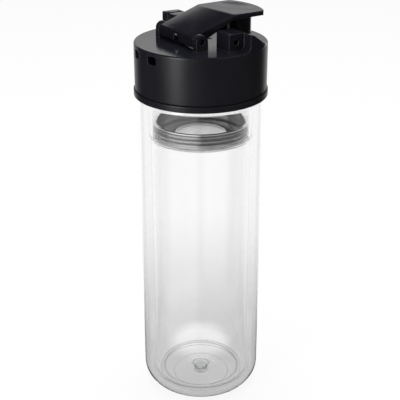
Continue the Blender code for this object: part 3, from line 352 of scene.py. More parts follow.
head_top = DOME_RISE - GAP
bulb = DOME_RISE + FOOT_THICKNESS + GAP
profile = [(0, head_top - PLUG_HEAD_HEIGHT)]
profile += arc((PLUG_HEAD_R - PLUG_EDGE, head_top - PLUG_HEAD_HEIGHT + PLUG_EDGE), PLUG_EDGE, -1, 0, 5)
profile += [(PLUG_HEAD_R, head_top), (PLUG_STEM_R, head_top), (PLUG_STEM_R, bulb), (PLUG_BULB_R, bulb)]
profile += arc((PLUG_BULB_R - PLUG_BULB_HEIGHT, bulb), PLUG_BULB_HEIGHT, 0, 1, 10)[1:]
profile += [(0, bulb + PLUG_BULB_HEIGHT)]
plug_paint = silicone("plug_silicone", (0.96, 0.97, 0.97, 1), 0.95, 0.03)
fit(turned("foot_plug", profile, steps=64), "bottle", plug_paint, "clear_silicone", "base_plug")


# Collar: a ring moulded in satin black plastic, bonded over the glass neck on a dark gasket.
# Its wide band closes the joint under the lid, and it carries the outside thread.
BAND_R = 38.2 * MM
BAND_HEIGHT = 3.5 * MM
BAND_EDGE = 0.3 * MM
BAND_TOP_Z = 195.2 * MM
COLLAR_R = 33.0 * MM
COLLAR_IN_R = 31.7 * MM
COLLAR_TOP_Z = 205.8 * MM
FLANGE_Z = 194.2 * MM
THREAD_PITCH = 4.0 * MM
THREAD_DEPTH = 0.8 * MM
THREAD_ROOT = 2.2 * MM
THREAD_CREST = 1.4 * MM
THREAD_TURNS = 1.25
THREAD_FADE = 12
THREAD_END = 0.05
THREAD_START = 2.0 * MM
LAP = 0.4 * MM
DECK_Z = 222.0 * MM
# Radius of the shaded rounding of edges, and the paler black painted on them as a highlight.
EDGE_ROUND_R = 0.45 * MM
EDGE_HIGHLIGHT_BLACK = (0.055, 0.055, 0.06, 1)


def satin_black(name, roughness, grey=0.0075, polish_z=1.0, polish=0.0):
    """Black plastic from a mould that is fine-grained below a height and polished above it, with a painted
    highlight that tints its edges a little paler."""
    paint, shader, start = new_finish(name)
    grain = start.noise(0.18 * MM, 3.0)
    round_edge = start.node("Bevel", {"samples": 8}, {"Radius": EDGE_ROUND_R})
    # Painted highlight: edges are found where the rounded normal turns away from the face.
    facing = start.node("NewGeometry", output=1)
    flatness = start.node("VectorMath", {"operation": "DOT_PRODUCT"}, {0: round_edge, 1: facing}, 1)
    edge_highlight = 1 - flatness.between(0.80, 0.97)
    bump = start.node("Bump", None, {"Strength": 0.35, "Distance": 0.012 * MM, "Height": grain,
                                     "Normal": round_edge})
    flow = start.noise(14 * MM, 4.0, (1, 1, 0.5)).between(0.35, 0.7)
    rubs = start.noise(1.6 * MM, 5.0, (1, 1, 4)).between(0.56, 0.72)
    shade = (flow * 0.6 + rubs * 0.4).tint((grey, grey * 1.02, grey * 1.5, 1),
                                           (grey * 1.35, grey * 1.38, grey * 1.95, 1))
    # Painted highlight: the edges are tinted paler, standing for the light they catch.
    shade = edge_highlight.tint(shade, EDGE_HIGHLIGHT_BLACK)
    smooth = start.height().between(polish_z - 0.8 * MM, polish_z - 0.3 * MM)
    dull = roughness + flow * 0.05 + rubs * 0.04 - smooth * polish
    feed(shader, {"Base Color": shade, "Roughness": dull, "IOR": 1.5, "Normal": bump})
    return paint


def thread(name, root_r, crest_r, start_z):
    """A thread ridge that climbs one pitch each turn and thins out at both ends."""
    bm = bmesh.new()
    steps = round(THREAD_TURNS * ROUND_STEPS)
    rows = []
    for i in range(steps + 1):
        angle = TURN * (i + 0.5) / ROUND_STEPS
        fade = min(1, THREAD_FADE * min(i, steps - i) / steps + THREAD_END)
        reach = root_r + (crest_r - root_r) * fade
        z = start_z + THREAD_PITCH * i / ROUND_STEPS
        section = [(root_r, -THREAD_ROOT / 2), (reach, -THREAD_CREST / 2)]
        section += [(reach, THREAD_CREST / 2), (root_r, THREAD_ROOT / 2)]
        rows.append([bm.verts.new((r * math.cos(angle), r * math.sin(angle), z + dz)) for r, dz in section])
    for row, following in zip(rows, rows[1:]):
        for k in range(len(row)):
            bm.faces.new((row[k], row[k - 1], following[k - 1], following[k]))
    bm.faces.new(rows[0])
    bm.faces.new(rows[-1][::-1])
    return new_piece(name, bm)


def combine(piece, operation, *tools):
    """Add, cut away or keep what further shapes cover, and drop those shapes."""
    for tool in tools:
        step = piece.modifiers.new(operation, "BOOLEAN")
        step.operation = operation
        step.solver = "EXACT"
        step.object = tool
        bpy.context.view_layer.update()
        view = bpy.context.evaluated_depsgraph_get()
        mesh = bpy.data.meshes.new_from_object(piece.evaluated_get(view))
        piece.modifiers.clear()
        piece.data = mesh
        bpy.data.objects.remove(tool)
    return piece


band_in = BODY_R + GAP
band_low = BAND_TOP_Z - BAND_HEIGHT
profile = [(band_in, band_low)]
profile += arc((BAND_R - BAND_EDGE, band_low + BAND_EDGE), BAND_EDGE, -1, 0, 5)
profile += arc((BAND_R - BAND_EDGE, BAND_TOP_Z - BAND_EDGE), BAND_EDGE, 0, 1, 5)
profile += [(COLLAR_R, BAND_TOP_Z), (COLLAR_R, COLLAR_TOP_Z), (COLLAR_IN_R, COLLAR_TOP_Z)]
profile += [(COLLAR_IN_R, FLANGE_Z), (band_in, FLANGE_Z)]
black_paint = satin_black("satin_black", 0.34, polish_z=DECK_Z, polish=0.22)
collar = turned("collar_ring", profile)
ridge = thread("ridge", COLLAR_R - LAP, COLLAR_R + THREAD_DEPTH, BAND_TOP_Z + THREAD_START)
fit(combine(collar, "UNION", ridge), "bottle", black_paint, "black_plastic", "neck_collar")


# Collar gasket: a band of dark silicone between the glass neck and the collar.
# It is plain and out of sight, so the solid is kept as it is.
dark_silicone_paint = silicone("dark_silicone", (0.035, 0.035, 0.038, 1), 0.0, 0.5)
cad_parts["collar_gasket"].material_slots[0].material = dark_silicone_paint


# Strainer cup: a shallow cup pressed from polished steel, its rim rolled over.
# It stands on the ledge in the glass, held by a clear ring that grips the neck.
CUP_FLOOR_Z = 166.7 * MM
CUP_HEIGHT = 9.4 * MM
CUP_R = 26.3 * MM
CUP_WALL = 0.6 * MM
CUP_RIM_R = 27.4 * MM
CUP_RIM_HEIGHT = 1.0 * MM
CUP_HOLE_R = 13.7 * MM
CUP_CORNER_R = 1.5 * MM
CUP_EDGE = 0.3 * MM
# Height below which the cup's inside carries a painted dark reflection.
CUP_PAINTED_REFLECTION_HEIGHT = 2.2 * MM


def polished_steel(name, roughness, lines, grey=0.80, reflection_r=0.0, reflection_z=0.0):
    """Stainless steel, bright, with the fine rings that turning and buffing leave, and a painted dark
    reflection low inside a cup.
    """
    paint, shader, start = new_finish(name)
    radius = start.radius()
    height = start.height()
    across = start.node("CombineXYZ", None, {0: radius * (1 / MM), 1: height * (1 / MM), 2: 0.0})
    rings = start.node("TexNoise", None, {"Vector": across, "Scale": 7.0, "Detail": 3.0})
    dull = start.noise(6 * MM, 4.0).between(0.35, 0.75)
    bump = start.node("Bump", None, {"Strength": lines, "Distance": 0.01 * MM, "Height": rings})
    shade = dull.tint((grey, grey, grey * 1.01, 1), (grey * 0.88, grey * 0.88, grey * 0.89, 1))
    # Painted reflection: inside a radius and below a height the steel is tinted dark.
    low = 1 - height.between(reflection_z - 0.8 * MM, reflection_z)
    painted_reflection = (1 - radius.between(reflection_r - 0.2 * MM, reflection_r)) * low
    shade = painted_reflection.tint(shade, (0.13, 0.13, 0.135, 1))
    feed(shader, {"Base Color": shade, "Metallic": 1.0, "Roughness": roughness + rings * 0.06 + dull * 0.05,
                  "Normal": bump})
    return paint


top = CUP_FLOOR_Z + CUP_HEIGHT
inside = CUP_R - CUP_WALL
rim = CUP_RIM_HEIGHT / 2
corner = (CUP_R - CUP_CORNER_R, CUP_FLOOR_Z + CUP_CORNER_R)
profile = [(CUP_HOLE_R, CUP_FLOOR_Z)] + arc(corner, CUP_CORNER_R, -1, 0, 8)
profile += [(CUP_R, top - CUP_RIM_HEIGHT)] + arc((CUP_RIM_R - rim, top - rim), rim, -1, 1, 8)
profile += [(inside + CUP_EDGE, top), (inside, top - CUP_EDGE)]
profile += arc(corner, CUP_CORNER_R - CUP_WALL, 0, -1, 8) + [(CUP_HOLE_R, CUP_FLOOR_Z + CUP_WALL)]
# The cup's floor and the low part of its inner wall carry a painted dark reflection.
steel_paint = polished_steel("polished_steel", 0.03, 0.08, 0.85, CUP_R - CUP_WALL / 2,
                             CUP_FLOOR_Z + CUP_PAINTED_REFLECTION_HEIGHT)
fit(turned("tea_cup", profile), "strainer", steel_paint, "polished_steel", "strainer_cup")


# Sieve: a disc of thin steel sheet with rows of fine punched holes.
# It lies on the cup's floor and is spot-welded over the opening there.
SIEVE_THICKNESS = 0.5 * MM
SHEET_THICKNESS = 0.15 * MM
SIEVE_EDGE = 1.2 * MM
SIEVE_HOLE_R = 0.42 * MM
SIEVE_PITCH = 1.2 * MM


def ring_points(radius, steps):
    """Points round a circle about the middle."""
    return [(radius * math.cos(TURN * i / steps), radius * math.sin(TURN * i / steps)) for i in range(steps)]


bm = bmesh.new()
low = CUP_FLOOR_Z + CUP_WALL + GAP + SIEVE_THICKNESS - SHEET_THICKNESS
loops = [ring_points(CUP_HOLE_R + SIEVE_EDGE, 96)]
hole = ring_points(SIEVE_HOLE_R, 8)
rows = int(CUP_HOLE_R / (SIEVE_PITCH * math.sin(TURN / 6)))
for row in range(-rows, rows + 1):
    for column in range(-rows - 1, rows + 2):
        x = SIEVE_PITCH * (column + (row % 2) / 2)
        y = SIEVE_PITCH * row * math.sin(TURN / 6)
        if math.hypot(x, y) < CUP_HOLE_R - SIEVE_PITCH / 2:
            loops.append([(x + dx, y + dy) for dx, dy in hole])
lines = []
for loop in loops:
    points = [bm.verts.new((x, y, low)) for x, y in loop]
    lines += [bm.edges.new(pair) for pair in zip(points, points[1:] + points[:1])]
bmesh.ops.triangle_fill(bm, edges=lines, use_beauty=True)
grown = bmesh.ops.extrude_face_region(bm, geom=list(bm.faces))
moved = [v for v in grown["geom"] if isinstance(v, bmesh.types.BMVert)]
bmesh.ops.translate(bm, vec=(0, 0, SHEET_THICKNESS), verts=moved)
sieve_paint = polished_steel("sieve_steel", 0.28, 0.1, 0.95)
fit(new_piece("holed_disc", bm), "strainer", sieve_paint, "polished_steel", "sieve")


# Grip ring: clear silicone, moulded with three round ribs and a tail that tapers below the ledge.
# It is stretched over the cup and holds it in the neck.
GASKET_WALL = 0.6 * MM
GASKET_RIB_R = 27.8 * MM
GASKET_R = 27.2 * MM
GASKET_RIBS = 3
GASKET_LOW_Z = 165.8 * MM
GASKET_FOOT_R = 23.4 * MM
GASKET_TAIL_TAPER = 1.45 * MM

seat = LEDGE_Z + GAP
top = CUP_FLOOR_Z + CUP_HEIGHT - CUP_RIM_HEIGHT - GAP
rib = (top - seat) / (2 * GASKET_RIBS)
tail_r = BORE_R - GAP
profile = [(GASKET_FOOT_R, GASKET_LOW_Z), (tail_r - GASKET_TAIL_TAPER, GASKET_LOW_Z)]
profile += [(tail_r, LEDGE_Z - GAP), (tail_r, seat)]
for i in range(GASKET_RIBS):
    z = seat + 2 * rib * i
    profile += arc((GASKET_RIB_R - rib / 2, z + rib / 2), rib / 2, -1, 1, 8) + [(GASKET_R, z + 1.5 * rib)]
profile += [(GASKET_R, top), (GASKET_R - GASKET_WALL, top)]
profile += arc(corner, CUP_CORNER_R + GAP, 0, -1, 8) + [(GASKET_FOOT_R, CUP_FLOOR_Z - GAP)]
gasket_paint = silicone("clear_silicone", (0.97, 0.97, 0.96, 1), 0.9, 0.05)
# The grip ring's finish has painted shade in the grooves between its ribs.
ribbed_shaded_paint = silicone("ribbed_silicone_painted_shade", (0.97, 0.97, 0.96, 1), 0.9, 0.05, 2 * rib, seat)
fit(turned("grip_ring", profile), "strainer", ribbed_shaded_paint, "clear_silicone", "strainer_gasket")


# Lid's inner cup: a plain black moulding that screws on the collar, with a wall that dips in the mouth.
# Three screws hold it under the lid's deck. It has holes for the drink and for air.
CEILING_Z = 210.3 * MM
CEILING_TOP_Z = 212.0 * MM
SLEEVE_R = 35.2 * MM
SLEEVE_IN_R = 34.2 * MM
SLEEVE_FOOT_Z = 196.1 * MM
MOUTH_PLUG_R = 27.5 * MM
MOUTH_PLUG_WALL = 1.8 * MM
MOUTH_PLUG_FOOT_Z = 200.0 * MM
MOUTH_PLUG_EDGE = 0.4 * MM
LID_THREAD_START = 4.0 * MM
FLOW_HOLE_X = 20.0 * MM
FLOW_HOLE_R = 4.6 * MM
VENT_HOLE_X = 6.0 * MM
VENT_HOLE_R = 2.1 * MM
SCREW_CIRCLE_R = 20.0 * MM
SCREW_HOLE_R = 1.5 * MM
OVERRUN = 6.0 * MM


def rod(name, radius, start, stop, steps=32):
    """A straight round bar between two points."""
    bm = bmesh.new()
    span = Vector(stop) - Vector(start)
    turn = span.to_track_quat("Z", "Y").to_matrix().to_4x4()
    place = Matrix.Translation((Vector(start) + Vector(stop)) / 2) @ turn
    bmesh.ops.create_cone(bm, cap_ends=True, segments=steps, radius1=radius, radius2=radius,
                          depth=span.length, matrix=place)
    return new_piece(name, bm)


def upright(name, radius, x, y, low, high, steps=32):
    """A straight round bar that stands at a point of the plan."""
    return rod(name, radius, (x, y, low), (x, y, high), steps)


plug_in = MOUTH_PLUG_R - MOUTH_PLUG_WALL
profile = [(0, CEILING_TOP_Z), (SLEEVE_R, CEILING_TOP_Z), (SLEEVE_R, SLEEVE_FOOT_Z)]
profile += [(SLEEVE_IN_R, SLEEVE_FOOT_Z), (SLEEVE_IN_R, CEILING_Z), (MOUTH_PLUG_R, CEILING_Z)]
plug_edge_z = MOUTH_PLUG_FOOT_Z + MOUTH_PLUG_EDGE
profile += [(MOUTH_PLUG_R, plug_edge_z), (MOUTH_PLUG_R - MOUTH_PLUG_EDGE, MOUTH_PLUG_FOOT_Z)]
profile += [(plug_in + MOUTH_PLUG_EDGE, MOUTH_PLUG_FOOT_Z), (plug_in, plug_edge_z)]
profile += [(plug_in, CEILING_Z), (0, CEILING_Z)]
cup = turned("screw_cup", profile)
ridge = thread("ridge", SLEEVE_IN_R + LAP, COLLAR_R + LAP, BAND_TOP_Z + LID_THREAD_START)
combine(cup, "UNION", ridge)
screw_turns = [TURN * (i + 0.5) / 3 for i in range(3)]
screw_places = [(SCREW_CIRCLE_R * math.cos(a), SCREW_CIRCLE_R * math.sin(a)) for a in screw_turns]
holes = [(FLOW_HOLE_R, FLOW_HOLE_X, 0), (VENT_HOLE_R, VENT_HOLE_X, 0)]
holes += [(SCREW_HOLE_R, x, y) for x, y in screw_places]
for hole in holes:
    combine(cup, "DIFFERENCE", upright("hole", *hole, CEILING_Z - OVERRUN, CEILING_TOP_Z + OVERRUN))
inner_paint = satin_black("inner_black", 0.42, 0.013)
fit(cup, "lid", inner_paint, "inner_plastic", "lid_inner")


# Mouth seal: a flat ring of clear silicone under the inner cup's ceiling, pressed on the glass lip.
# The valve, the spout's seal and the three steel screws are plain, so their solids are kept.
SEAL_THICKNESS = 1.7 * MM

seal_low = MOUTH_Z + GAP
seal_in = MOUTH_PLUG_R + GAP
profile = [(seal_in, seal_low), (NECK_R, seal_low)]
profile += [(NECK_R, seal_low + SEAL_THICKNESS), (seal_in, seal_low + SEAL_THICKNESS)]
fit(turned("mouth_seal", profile), "lid_ring", gasket_paint, "clear_silicone", "lid_seal")
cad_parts["vent_valve"].material_slots[0].material = gasket_paint
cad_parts["spout_seal"].material_slots[0].material = dark_silicone_paint
screw_paint = polished_steel("screw_steel", 0.22, 0.1)
for i in (1, 2, 3):
    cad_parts[f"lid_screw_{i}"].material_slots[0].material = screw_paint


# Lid shell: the outside of the lid, one black moulding. A plain skirt, a smooth deck, two hinge ears,
# and two side towers that shelter the spout. Two small windows at the hinge side take a strap.
LID_R = 37.5 * MM
LID_WALL = 2.0 * MM
LID_FOOT_Z = 195.5 * MM
RIM_ROUND = 0.9 * MM
FOOT_CHAMFER = 0.15 * MM
DECK_THICKNESS = 1.9 * MM
HINGE_HEIGHT = 5.1 * MM
HINGE = Vector((-12.9 * MM, 0, DECK_Z + HINGE_HEIGHT))
EAR_R = 3.7 * MM
EAR_IN = 17.5 * MM
EAR_THICKNESS = 3.6 * MM
EAR_EDGE = 0.3 * MM
PIN_HOLE_R = 1.6 * MM
TOWER_REAR_X = -2.1 * MM
TOWER_SLOPE_X = 8.0 * MM
TOWER_TOE_X = 30.0 * MM
TOWER_SKEW = 0.7
TOWER_STEPS = 24
TOWER_EDGE = 0.35 * MM
TOWER_HEIGHT = 9.4 * MM
TOWER_IN = 18.6 * MM
NOTCH_IN = 30.4 * MM
NOTCH_FRONT_X = 7.6 * MM
NOTCH_ROUND = 3.0 * MM
BOLT = Vector((2.4 * MM, 0, DECK_Z + 4.8 * MM))
BOLT_HOLE_R = 1.6 * MM
BLIND_HOLE_DEPTH = 5.0 * MM
POCKET_R = 2.5 * MM
POCKET_DEPTH = 5.0 * MM
VENT_BORE_R = 1.2 * MM
BOSS_R = 3.2 * MM
SCREW_HOLE_DEPTH = 7.3 * MM
SPOUT_X = 23.0 * MM
SPOUT_R = 6.8 * MM
WINDOW_WIDTH = 6.5 * MM
WINDOW_HEIGHT = 4.9 * MM
WINDOW_ROUND = 1.4 * MM
WINDOW_TOP_Z = DECK_Z - 2.0 * MM
WINDOW_ANGLE = math.radians(12)


def extruded(name, outline, low, high, side=False, edge=0, above=-1.0):
    """A piece of one outline: upright from a plan, or across from a side view of x and z."""
    bm = bmesh.new()
    place = (lambda u, v, w: (u, w, v)) if side else (lambda u, v, w: (u, v, w))
    face = bm.faces.new([bm.verts.new(place(u, v, low)) for u, v in outline])
    grown = bmesh.ops.extrude_face_region(bm, geom=[face])
    moved = [v for v in grown["geom"] if isinstance(v, bmesh.types.BMVert)]
    bmesh.ops.translate(bm, vec=place(0, 0, high - low), verts=moved)
    bmesh.ops.recalc_face_normals(bm, faces=bm.faces)
    if edge:
        sharp = [e for e in bm.edges if e.calc_face_angle() > math.radians(30)
                 and min(v.co.z for v in e.verts) > above]
        bmesh.ops.bevel(bm, geom=sharp, offset=edge, segments=4, profile=0.5, affect="EDGES")
    return new_piece(name, bm)


def lid_round():
    """All that is within the lid's outline, to trim other shapes with."""
    return upright("round", LID_R, 0, 0, DECK_Z - OVERRUN, DECK_Z + 3 * OVERRUN, ROUND_STEPS)


profile = [(0, DECK_Z)] + arc((LID_R - RIM_ROUND, DECK_Z - RIM_ROUND), RIM_ROUND, 1, 0, 8)
profile += [(LID_R, LID_FOOT_Z + FOOT_CHAMFER), (LID_R - FOOT_CHAMFER, LID_FOOT_Z)]
profile += [(LID_R - LID_WALL, LID_FOOT_Z), (LID_R - LID_WALL, DECK_Z - DECK_THICKNESS)]
profile += [(0, DECK_Z - DECK_THICKNESS)]
shell = turned("lid_cover", profile)
for sign in (-1, 1):
    view = [(TOWER_REAR_X, DECK_Z - LAP), (TOWER_REAR_X, DECK_Z + TOWER_HEIGHT)]
    for i in range(TOWER_STEPS):
        fall = 1 + math.cos(TURN / 2 * (i / TOWER_STEPS) ** TOWER_SKEW)
        x = TOWER_SLOPE_X + (TOWER_TOE_X - TOWER_SLOPE_X) * i / TOWER_STEPS
        view.append((x, DECK_Z + TOWER_HEIGHT * fall / 2))
    view += [(TOWER_TOE_X, DECK_Z - LAP)]
    span = sorted((sign * TOWER_IN, sign * (LID_R + OVERRUN)))
    tower = extruded("tower", view, *span, side=True, edge=TOWER_EDGE, above=DECK_Z)
    combine(tower, "INTERSECT", lid_round())
    view = [(TOWER_REAR_X - OVERRUN, DECK_Z)]
    view += arc((NOTCH_FRONT_X - NOTCH_ROUND, DECK_Z + NOTCH_ROUND), NOTCH_ROUND, -1, 0, 10)
    view += [(NOTCH_FRONT_X, DECK_Z + 3 * OVERRUN), (TOWER_REAR_X - OVERRUN, DECK_Z + 3 * OVERRUN)]
    span = sorted((sign * NOTCH_IN, sign * (LID_R + OVERRUN)))
    combine(tower, "DIFFERENCE", extruded("notch", view, *span, side=True))
    view = [(HINGE.x + EAR_R, DECK_Z - LAP)] + arc((HINGE.x, HINGE.z), EAR_R, 0, 2, 24)
    view += [(HINGE.x - EAR_R, DECK_Z - LAP)]
    span = sorted((sign * EAR_IN, sign * (EAR_IN + EAR_THICKNESS)))
    combine(shell, "UNION", tower, extruded("ear", view, *span, side=True, edge=EAR_EDGE, above=DECK_Z))
    half = WINDOW_WIDTH / 2 - WINDOW_ROUND
    low_z = WINDOW_TOP_Z - WINDOW_HEIGHT + WINDOW_ROUND
    high_z = WINDOW_TOP_Z - WINDOW_ROUND
    view = arc((half, low_z), WINDOW_ROUND, -1, 0, 6) + arc((half, high_z), WINDOW_ROUND, 0, 1, 6)
    view += arc((-half, high_z), WINDOW_ROUND, 1, 2, 6) + arc((-half, low_z), WINDOW_ROUND, 2, 3, 6)
    window = extruded("window", view, LID_R - LID_WALL - OVERRUN, LID_R + OVERRUN, side=True)
    window.data.transform(Matrix.Rotation(TURN / 4 + sign * WINDOW_ANGLE, 4, "Z"))
    combine(shell, "DIFFERENCE", window)
across = Vector((0, LID_R + OVERRUN, 0))
combine(shell, "DIFFERENCE",
        rod("pin_hole", PIN_HOLE_R, HINGE - across, HINGE + across),
        rod("bolt_hole", BOLT_HOLE_R, BOLT, BOLT + across),
        rod("blind_hole", BOLT_HOLE_R, BOLT - across, BOLT + Vector((0, BLIND_HOLE_DEPTH - NOTCH_IN, 0))),
        rod("bore", POCKET_R, BOLT + Vector((0, NOTCH_IN - POCKET_DEPTH, 0)), BOLT + across),
        upright("spout_hole", SPOUT_R + GAP, SPOUT_X, 0, DECK_Z - OVERRUN, DECK_Z + OVERRUN, 96),
        upright("vent_hole", VENT_BORE_R, VENT_HOLE_X, 0, DECK_Z - OVERRUN, DECK_Z + OVERRUN))
for x, y in screw_places:
    boss = upright("boss", BOSS_R, x, y, CEILING_TOP_Z + GAP, DECK_Z - DECK_THICKNESS + LAP)
    hole = upright("hole", SCREW_HOLE_R, x, y, CEILING_Z, CEILING_Z + SCREW_HOLE_DEPTH)
    combine(shell, "UNION", boss)
    combine(shell, "DIFFERENCE", hole)
fit(shell, "lid", black_paint, "black_plastic", "lid_shell")


# Spout: a short black tube with a rounded lip, its flange caught under the deck.
# The drink comes up it when the lever is flipped back.
SPOUT_WALL = 1.6 * MM
SPOUT_HEIGHT = 9.0 * MM
SPOUT_FLANGE_R = 9.4 * MM
SPOUT_FLANGE = 1.2 * MM
SPOUT_FOOT_Z = 213.7 * MM

tip = SPOUT_WALL / 2
profile = [(SPOUT_R - SPOUT_WALL, SPOUT_FOOT_Z), (SPOUT_FLANGE_R, SPOUT_FOOT_Z)]
profile += [(SPOUT_FLANGE_R, SPOUT_FOOT_Z + SPOUT_FLANGE), (SPOUT_R, SPOUT_FOOT_Z + SPOUT_FLANGE)]
profile += arc((SPOUT_R - tip, DECK_Z + SPOUT_HEIGHT - tip), tip, 0, 2, 14)
spout = turned("drinking_spout", profile, (SPOUT_X, 0, 0), 96)
fit(spout, "lid", black_paint, "black_plastic", "spout")


# Hinge pin: a dark steel pin with chamfered ends.
# It is pressed through both ears, and the lever swings on it.
PIN_R = 1.25 * MM
BAR_CHAMFER = 0.3 * MM


def round_bar(name, radius, low, high, matrix):
    """A bar with chamfered ends, turned upright from one height to another, then laid in its place."""
    profile = [(0, low), (radius - BAR_CHAMFER, low), (radius, low + BAR_CHAMFER)]
    profile += [(radius, high - BAR_CHAMFER), (radius - BAR_CHAMFER, high), (0, high)]
    bar = turned(name, profile, steps=40)
    bar.data.transform(matrix)
    return bar


end = EAR_IN + EAR_THICKNESS - GAP
pin = round_bar("steel_pin", PIN_R, -end, end, Matrix.Translation(HINGE) @ Matrix.Rotation(TURN / 4, 4, "X"))
pin_paint = polished_steel("black_steel", 0.35, 0.1, 0.03)
fit(pin, "lid", pin_paint, "spring_steel", "hinge_pin")


# Lever spring: one steel wire, wound in two sets of curls round the pin.
# Its legs lift the lever, and its middle loop presses on the deck.
SPRING_R = 1.95 * MM
SPRING_WIRE_R = 0.35 * MM
SPRING_PITCH = 1.15 * MM
SPRING_CURLS = 3
SPRING_MIDDLE = 1.6 * MM
SPRING_LEG = 8.0 * MM
SPRING_LOOP = 9.0 * MM
SPRING_BEND = [(0, 1), (0.9 * MM, 0.8), (1.4 * MM, 0.45), (SPRING_MIDDLE, 0)]
COIL_STEPS = 28
LEVER_SLOPE = 8.2 / 25.3


def coil(radius, start, sweep, first_y, last_y):
    """Points of a coil about an axis that runs across the lid."""
    steps = round(COIL_STEPS * sweep / TURN)
    points = []
    for i in range(steps + 1):
        angle = start + sweep * i / steps
        y = first_y + (last_y - first_y) * i / steps
        points.append(Vector((radius * math.cos(angle), y, radius * math.sin(angle))))
    return points


def wire(name, points, radius):
    """One unbroken round wire along points."""
    curve = bpy.data.curves.new(name, "CURVE")
    curve.dimensions = "3D"
    curve.bevel_depth = radius
    curve.bevel_resolution = 4
    curve.use_fill_caps = True
    spline = curve.splines.new("POLY")
    spline.points.add(len(points) - 1)
    for point, where in zip(spline.points, points):
        point.co = (*where, 1)
    spline.use_smooth = True
    piece = bpy.data.objects.new(name, curve)
    bpy.context.scene.collection.objects.link(piece)
    return piece


lean = math.atan(LEVER_SLOPE)
start = TURN / 4 + lean
sweep = TURN * SPRING_CURLS + TURN / 2 - lean
tangent = Vector((math.cos(lean), 0, math.sin(lean)))
outer = Vector((0, SPRING_MIDDLE + SPRING_PITCH * sweep / TURN, 0))
first = Vector((SPRING_R * math.cos(start), 0, SPRING_R * math.sin(start)))
half = [first + tangent * SPRING_LEG + outer, first + tangent * SPRING_LEG / 2 + outer]
half += coil(SPRING_R, start, sweep, outer.y, SPRING_MIDDLE)
deck = SPRING_WIRE_R + GAP - HINGE_HEIGHT
for x, share in SPRING_BEND:
    half.append(Vector((SPRING_LOOP + x, SPRING_MIDDLE * share, deck)))
mirrored = [Vector((p.x, -p.y, p.z)) for p in reversed(half[:-1])]
spring = wire("lift_spring", [p + HINGE for p in half + mirrored], SPRING_WIRE_R)
fit(spring, "lid", screw_paint, "spring_steel", "lever_spring")


# Flip lever: one black moulding with a sloping arm, a thumb pad with a shallow dish, and a round cap
# below it that shuts the spout. It swings on the pin, and its end follows the lid's rim.
HALF_WIDTH = 17.1 * MM
THICKNESS = 2.6 * MM
REAR_X = -2.7 * MM
REAR_Z = 2.6 * MM
LIP_STEP = 0.5 * MM
LIP_SLANT = 0.8 * MM
LIP_R = 4.5 * MM
LIP_WALL = 0.8 * MM
FOOT_X = 3.2 * MM
FOOT_DROP = 0.9 * MM
CREASE_X = 22.6 * MM
CREASE_BEND = 1.6 * MM
CREASE_NEAR = 0.4
CREASE_EASE = 0.36
CREASE_DROP = 0.04 * MM
PAD_Z = 10.8 * MM
END_R = 35.2 * MM
CORNER_R = 3.0 * MM
KNUCKLE_R = 3.0 * MM
KNUCKLE_WIDTH = 3.6 * MM
CAP_R = 9.5 * MM
CAP_WALL = 1.1 * MM
CAP_CLEARANCE = 0.4 * MM
LEVER_EDGE = 0.45 * MM
TONGUE_X = 4.1 * MM
TONGUE_Y = 4.0 * MM
TONGUE_WIDTH = 6.0 * MM
TONGUE_THICKNESS = 1.8 * MM
TONGUE_CLEARANCE = 1.5 * MM
DISH_LENGTH = 20.0 * MM
DISH_WIDTH = 28.0 * MM
DISH_DEPTH = 0.7 * MM


def quarters_at(x, radius):
    """Angle, in quarter turns, at which a circle's lower rear part reaches x."""
    return 2 + math.acos(-x / radius) / (TURN / 4)


def oblong(low_x, high_x, low_y, high_y):
    """The four corners of an oblong."""
    return [(low_x, low_y), (high_x, low_y), (high_x, high_y), (low_x, high_y)]


knee_x = CREASE_X + THICKNESS * LEVER_SLOPE / 2
lip_x = REAR_X - LIP_STEP
lip_in = lip_x + LIP_WALL
lip_in_r = LIP_R - LIP_WALL
reach_x = END_R - HINGE.x + OVERRUN
view = [(lip_x, REAR_Z - LIP_SLANT), (REAR_X, REAR_Z)]
view += [(CREASE_X - CREASE_BEND, PAD_Z - CREASE_BEND * LEVER_SLOPE)]
view += [(CREASE_X - CREASE_BEND * CREASE_NEAR, PAD_Z - CREASE_BEND * LEVER_SLOPE * CREASE_EASE)]
view += [(CREASE_X + CREASE_BEND * CREASE_NEAR, PAD_Z - CREASE_DROP), (CREASE_X + CREASE_BEND, PAD_Z)]
view += [(reach_x, PAD_Z), (reach_x, PAD_Z - THICKNESS), (knee_x, PAD_Z - THICKNESS)]
view += [(FOOT_X, -FOOT_DROP), (lip_in, -FOOT_DROP)]
view += arc((0, 0), lip_in_r, quarters_at(lip_in, lip_in_r), 3, 8)
view += arc((0, 0), LIP_R, 3, quarters_at(lip_x, LIP_R), 8)
lever = extruded("lever_arm", view, -HALF_WIDTH, HALF_WIDTH, side=True, edge=LEVER_EDGE,
                 above=REAR_Z - LIP_SLANT / 2)
corner_reach = END_R - CORNER_R
corner_y = HALF_WIDTH - CORNER_R
corner_angle = math.asin(corner_y / corner_reach)
corner_x = corner_reach * math.cos(corner_angle) - HINGE.x
lean_quarters = corner_angle / (TURN / 4)
plan = [(REAR_X - OVERRUN, -HALF_WIDTH)] + arc((corner_x, -corner_y), CORNER_R, -1, -lean_quarters, 8)
plan += arc((-HINGE.x, 0), END_R, -lean_quarters, lean_quarters, 32)[1:-1]
plan += arc((corner_x, corner_y), CORNER_R, lean_quarters, 1, 8) + [(REAR_X - OVERRUN, HALF_WIDTH)]
combine(lever, "INTERSECT", extruded("plan", plan, -KNUCKLE_R - OVERRUN, PAD_Z + OVERRUN))
for sign in (-1, 1):
    inner_end = (0, sign * (HALF_WIDTH - KNUCKLE_WIDTH), 0)
    combine(lever, "UNION", rod("knuckle", KNUCKLE_R, inner_end, (0, sign * HALF_WIDTH, 0), 48))
cap_x = SPOUT_X - HINGE.x
cap_low = CAP_CLEARANCE - HINGE_HEIGHT
pad_low = PAD_Z - THICKNESS + LAP
